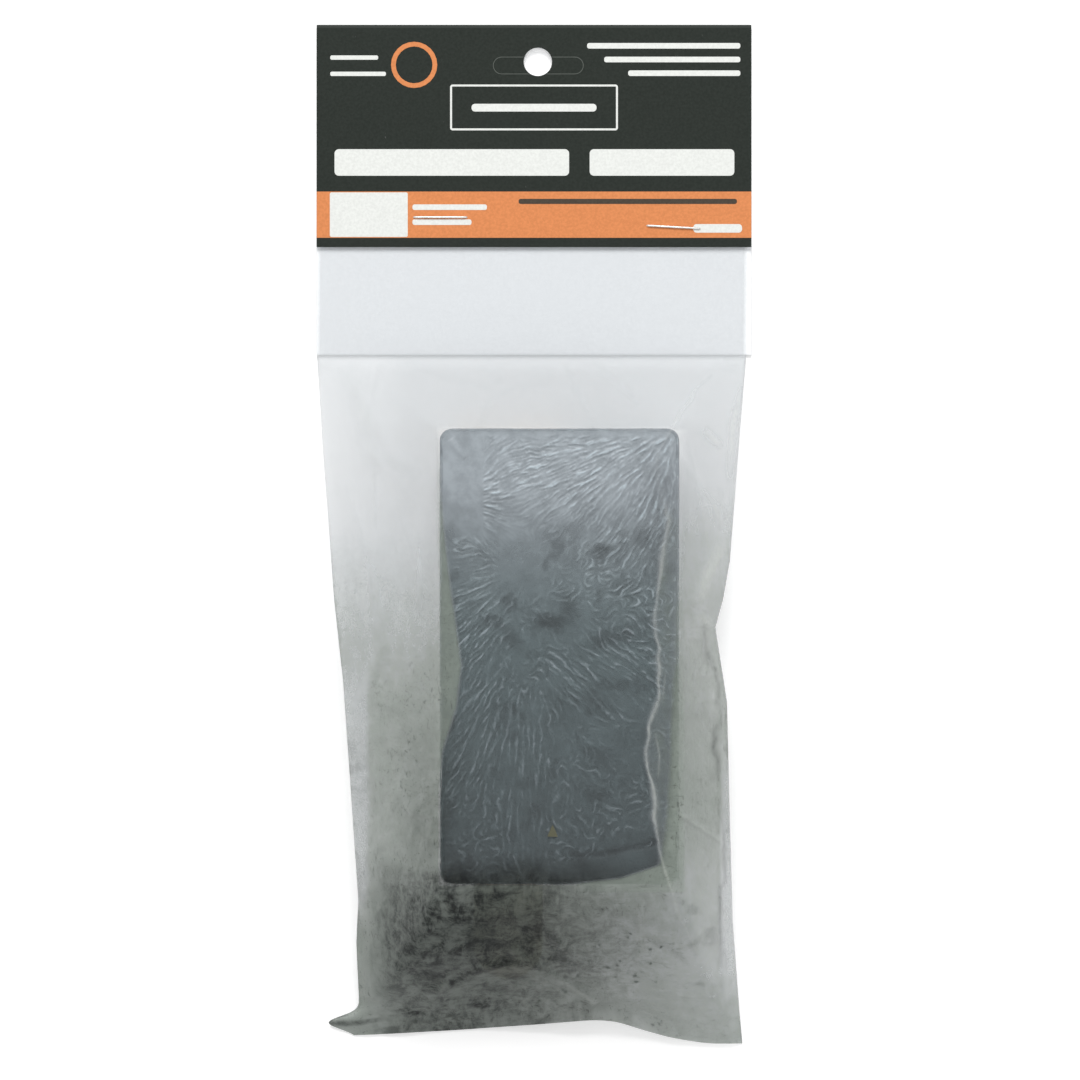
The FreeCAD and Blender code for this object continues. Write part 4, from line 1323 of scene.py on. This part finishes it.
def make_wrap_sides(material):
    """The sides, ends and back of the wrap, open at the front."""
    points, normals = slab_rings(WRAP_LOW, WRAP_HIGH, WRAP_CORNER, WRAP_EDGE, 0.7, front=False)
    x, y, z = points[..., 0], points[..., 1], points[..., 2]
    round_x = x + 0.6 * z
    ripple = layered_noise(round_x, y + 0.4 * z, 4.0, 181) - 0.5
    folds = np.abs(2 * layered_noise(round_x * 0.5, (y + 0.3 * z) * 1.4, 2.6, 187) - 1)
    points = points + normals * (0.16 * ripple - 0.10 - 0.25 * (folds < 0.08))[..., None]
    piece = slab_piece("wrap_sides", points)
    # Haze with the same painted sheen, lighter towards the top, and painted highlights along the folds.
    haze = 0.7 * follow(WRAP_HAZE_AND_SHEEN, y) + 0.03
    paint(piece, "haze", haze)
    paint(piece, "crest_highlight", 0.7 * ramp(folds, 0.16, 0.0))
    finish_wrap(piece, material)
    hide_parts("block_wrap")


def make_block():
    """The charcoal: a worn brick with chipped edges and a grainy skin."""
    points, normals = slab_rings(BLOCK_LOW, BLOCK_HIGH, 2.8, 1.1, 0.8)
    x, y, z = points[..., 0], points[..., 1], points[..., 2]
    wear = layered_noise(x + 0.7 * z, y - 0.5 * z, 7.0, 201)
    wear += 0.5 * layered_noise(x, y + z, 2.0, 205)
    chips = ramp(layered_noise(x - z, y + z, 5.0, 211), 0.60, 0.8)
    near_edge = np.abs(normals).max(axis=2) < 0.97
    points = points - normals * (0.10 + 0.18 * wear + 0.8 * chips * near_edge)[..., None]
    block = slab_piece("charcoal_core", points)
    columns = points.shape[1]
    edit(block, lambda work: close_start(work, columns))
    block.data.materials.append(charcoal_material())
    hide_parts("charcoal_block")
    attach(block, "block")


def close_start(work, columns):
    """Close the opening in the middle of a slab's front."""
    work.verts.ensure_lookup_table()
    work.faces.new([work.verts[i] for i in range(columns)])


make_wrap()
make_block()


# ---- crumbs -----------------------------------------------------------------------------------

def chip(random, place, half):
    """One angular lump: a few points on a squashed sphere, as their convex hull."""
    directions = random.normal(size=(11, 3))
    directions /= np.linalg.norm(directions, axis=1, keepdims=True)
    return place + directions * half * random.uniform(0.6, 1.0, size=(11, 1)) * (1, 0.8, 0.6)


CRUMB_DRIFTS = [(-22.0, -98.0, 9.0, 7.0, 170), (20.0, -99.0, 10.0, 6.0, 90), (-3.0, -107.0, 12.0, 2.2, 60)]


def make_crumbs():
    """Loose crumbs of many sizes lying in the foot of the bag."""
    random = np.random.default_rng(77)
    work = bmesh.new()
    for middle_x, middle_y, reach_x, reach_y, count in CRUMB_DRIFTS:
        for _ in range(count):
            half = 0.14 + 0.6 * random.random() ** 4
            x = middle_x + reach_x * random.uniform(-1, 1)
            y = middle_y + reach_y * random.uniform(-1, 1)
            place = np.array([x, y, 0.35 + 0.6 * half])
            corners = [work.verts.new(p * MM) for p in chip(random, place, half)]
            result = bmesh.ops.convex_hull(work, input=corners)
            loose = [v for v in result["geom_interior"] if isinstance(v, bmesh.types.BMVert)]
            bmesh.ops.delete(work, geom=loose, context="VERTS")
    mesh = bpy.data.meshes.new("charcoal_crumb_drifts")
    work.to_mesh(mesh)
    work.free()
    crumbs = bpy.data.objects.new("charcoal_crumb_drifts", mesh)
    bpy.context.collection.objects.link(crumbs)
    mesh.materials.append(bpy.data.materials["charcoal"])
    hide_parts("charcoal_crumbs")
    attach(crumbs, "pouch")


def make_splinter():
    """A small yellowish fleck caught between the wrapped block and the bag."""
    top = WRAP_HIGH[2] + 0.12
    corners = [(3.1, -69.6), (5.5, -69.7), (5.0, -68.3), (4.3, -66.9), (3.7, -68.2)]
    points = [(x, y, z) for z in (top, top + 0.15) for x, y in corners]
    count = len(corners)
    faces = [tuple(reversed(range(count))), tuple(range(count, 2 * count))]
    faces += [(i, (i + 1) % count, count + (i + 1) % count, count + i) for i in range(count)]
    fleck = link_mesh("wood_fleck", points, faces, smooth=False)
    fleck.data.materials.append(splinter_material())
    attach(fleck, "block")


make_crumbs()
make_splinter()


# ---- paddle: the CAD shapes with real materials -----------------------------------------------

def dress(node, material):
    """Give a CAD node its material."""
    piece = frame["nodes"][node]
    piece.data.materials.clear()
    piece.data.materials.append(material)


dress("paddle_board", wood_material())
dress("paddle_staple", bpy.data.materials["staple_wire"])
grit = grit_material()
for node in frame["nodes"]:
    if node.startswith("sandpaper_sheet"):
        dress(node, grit)
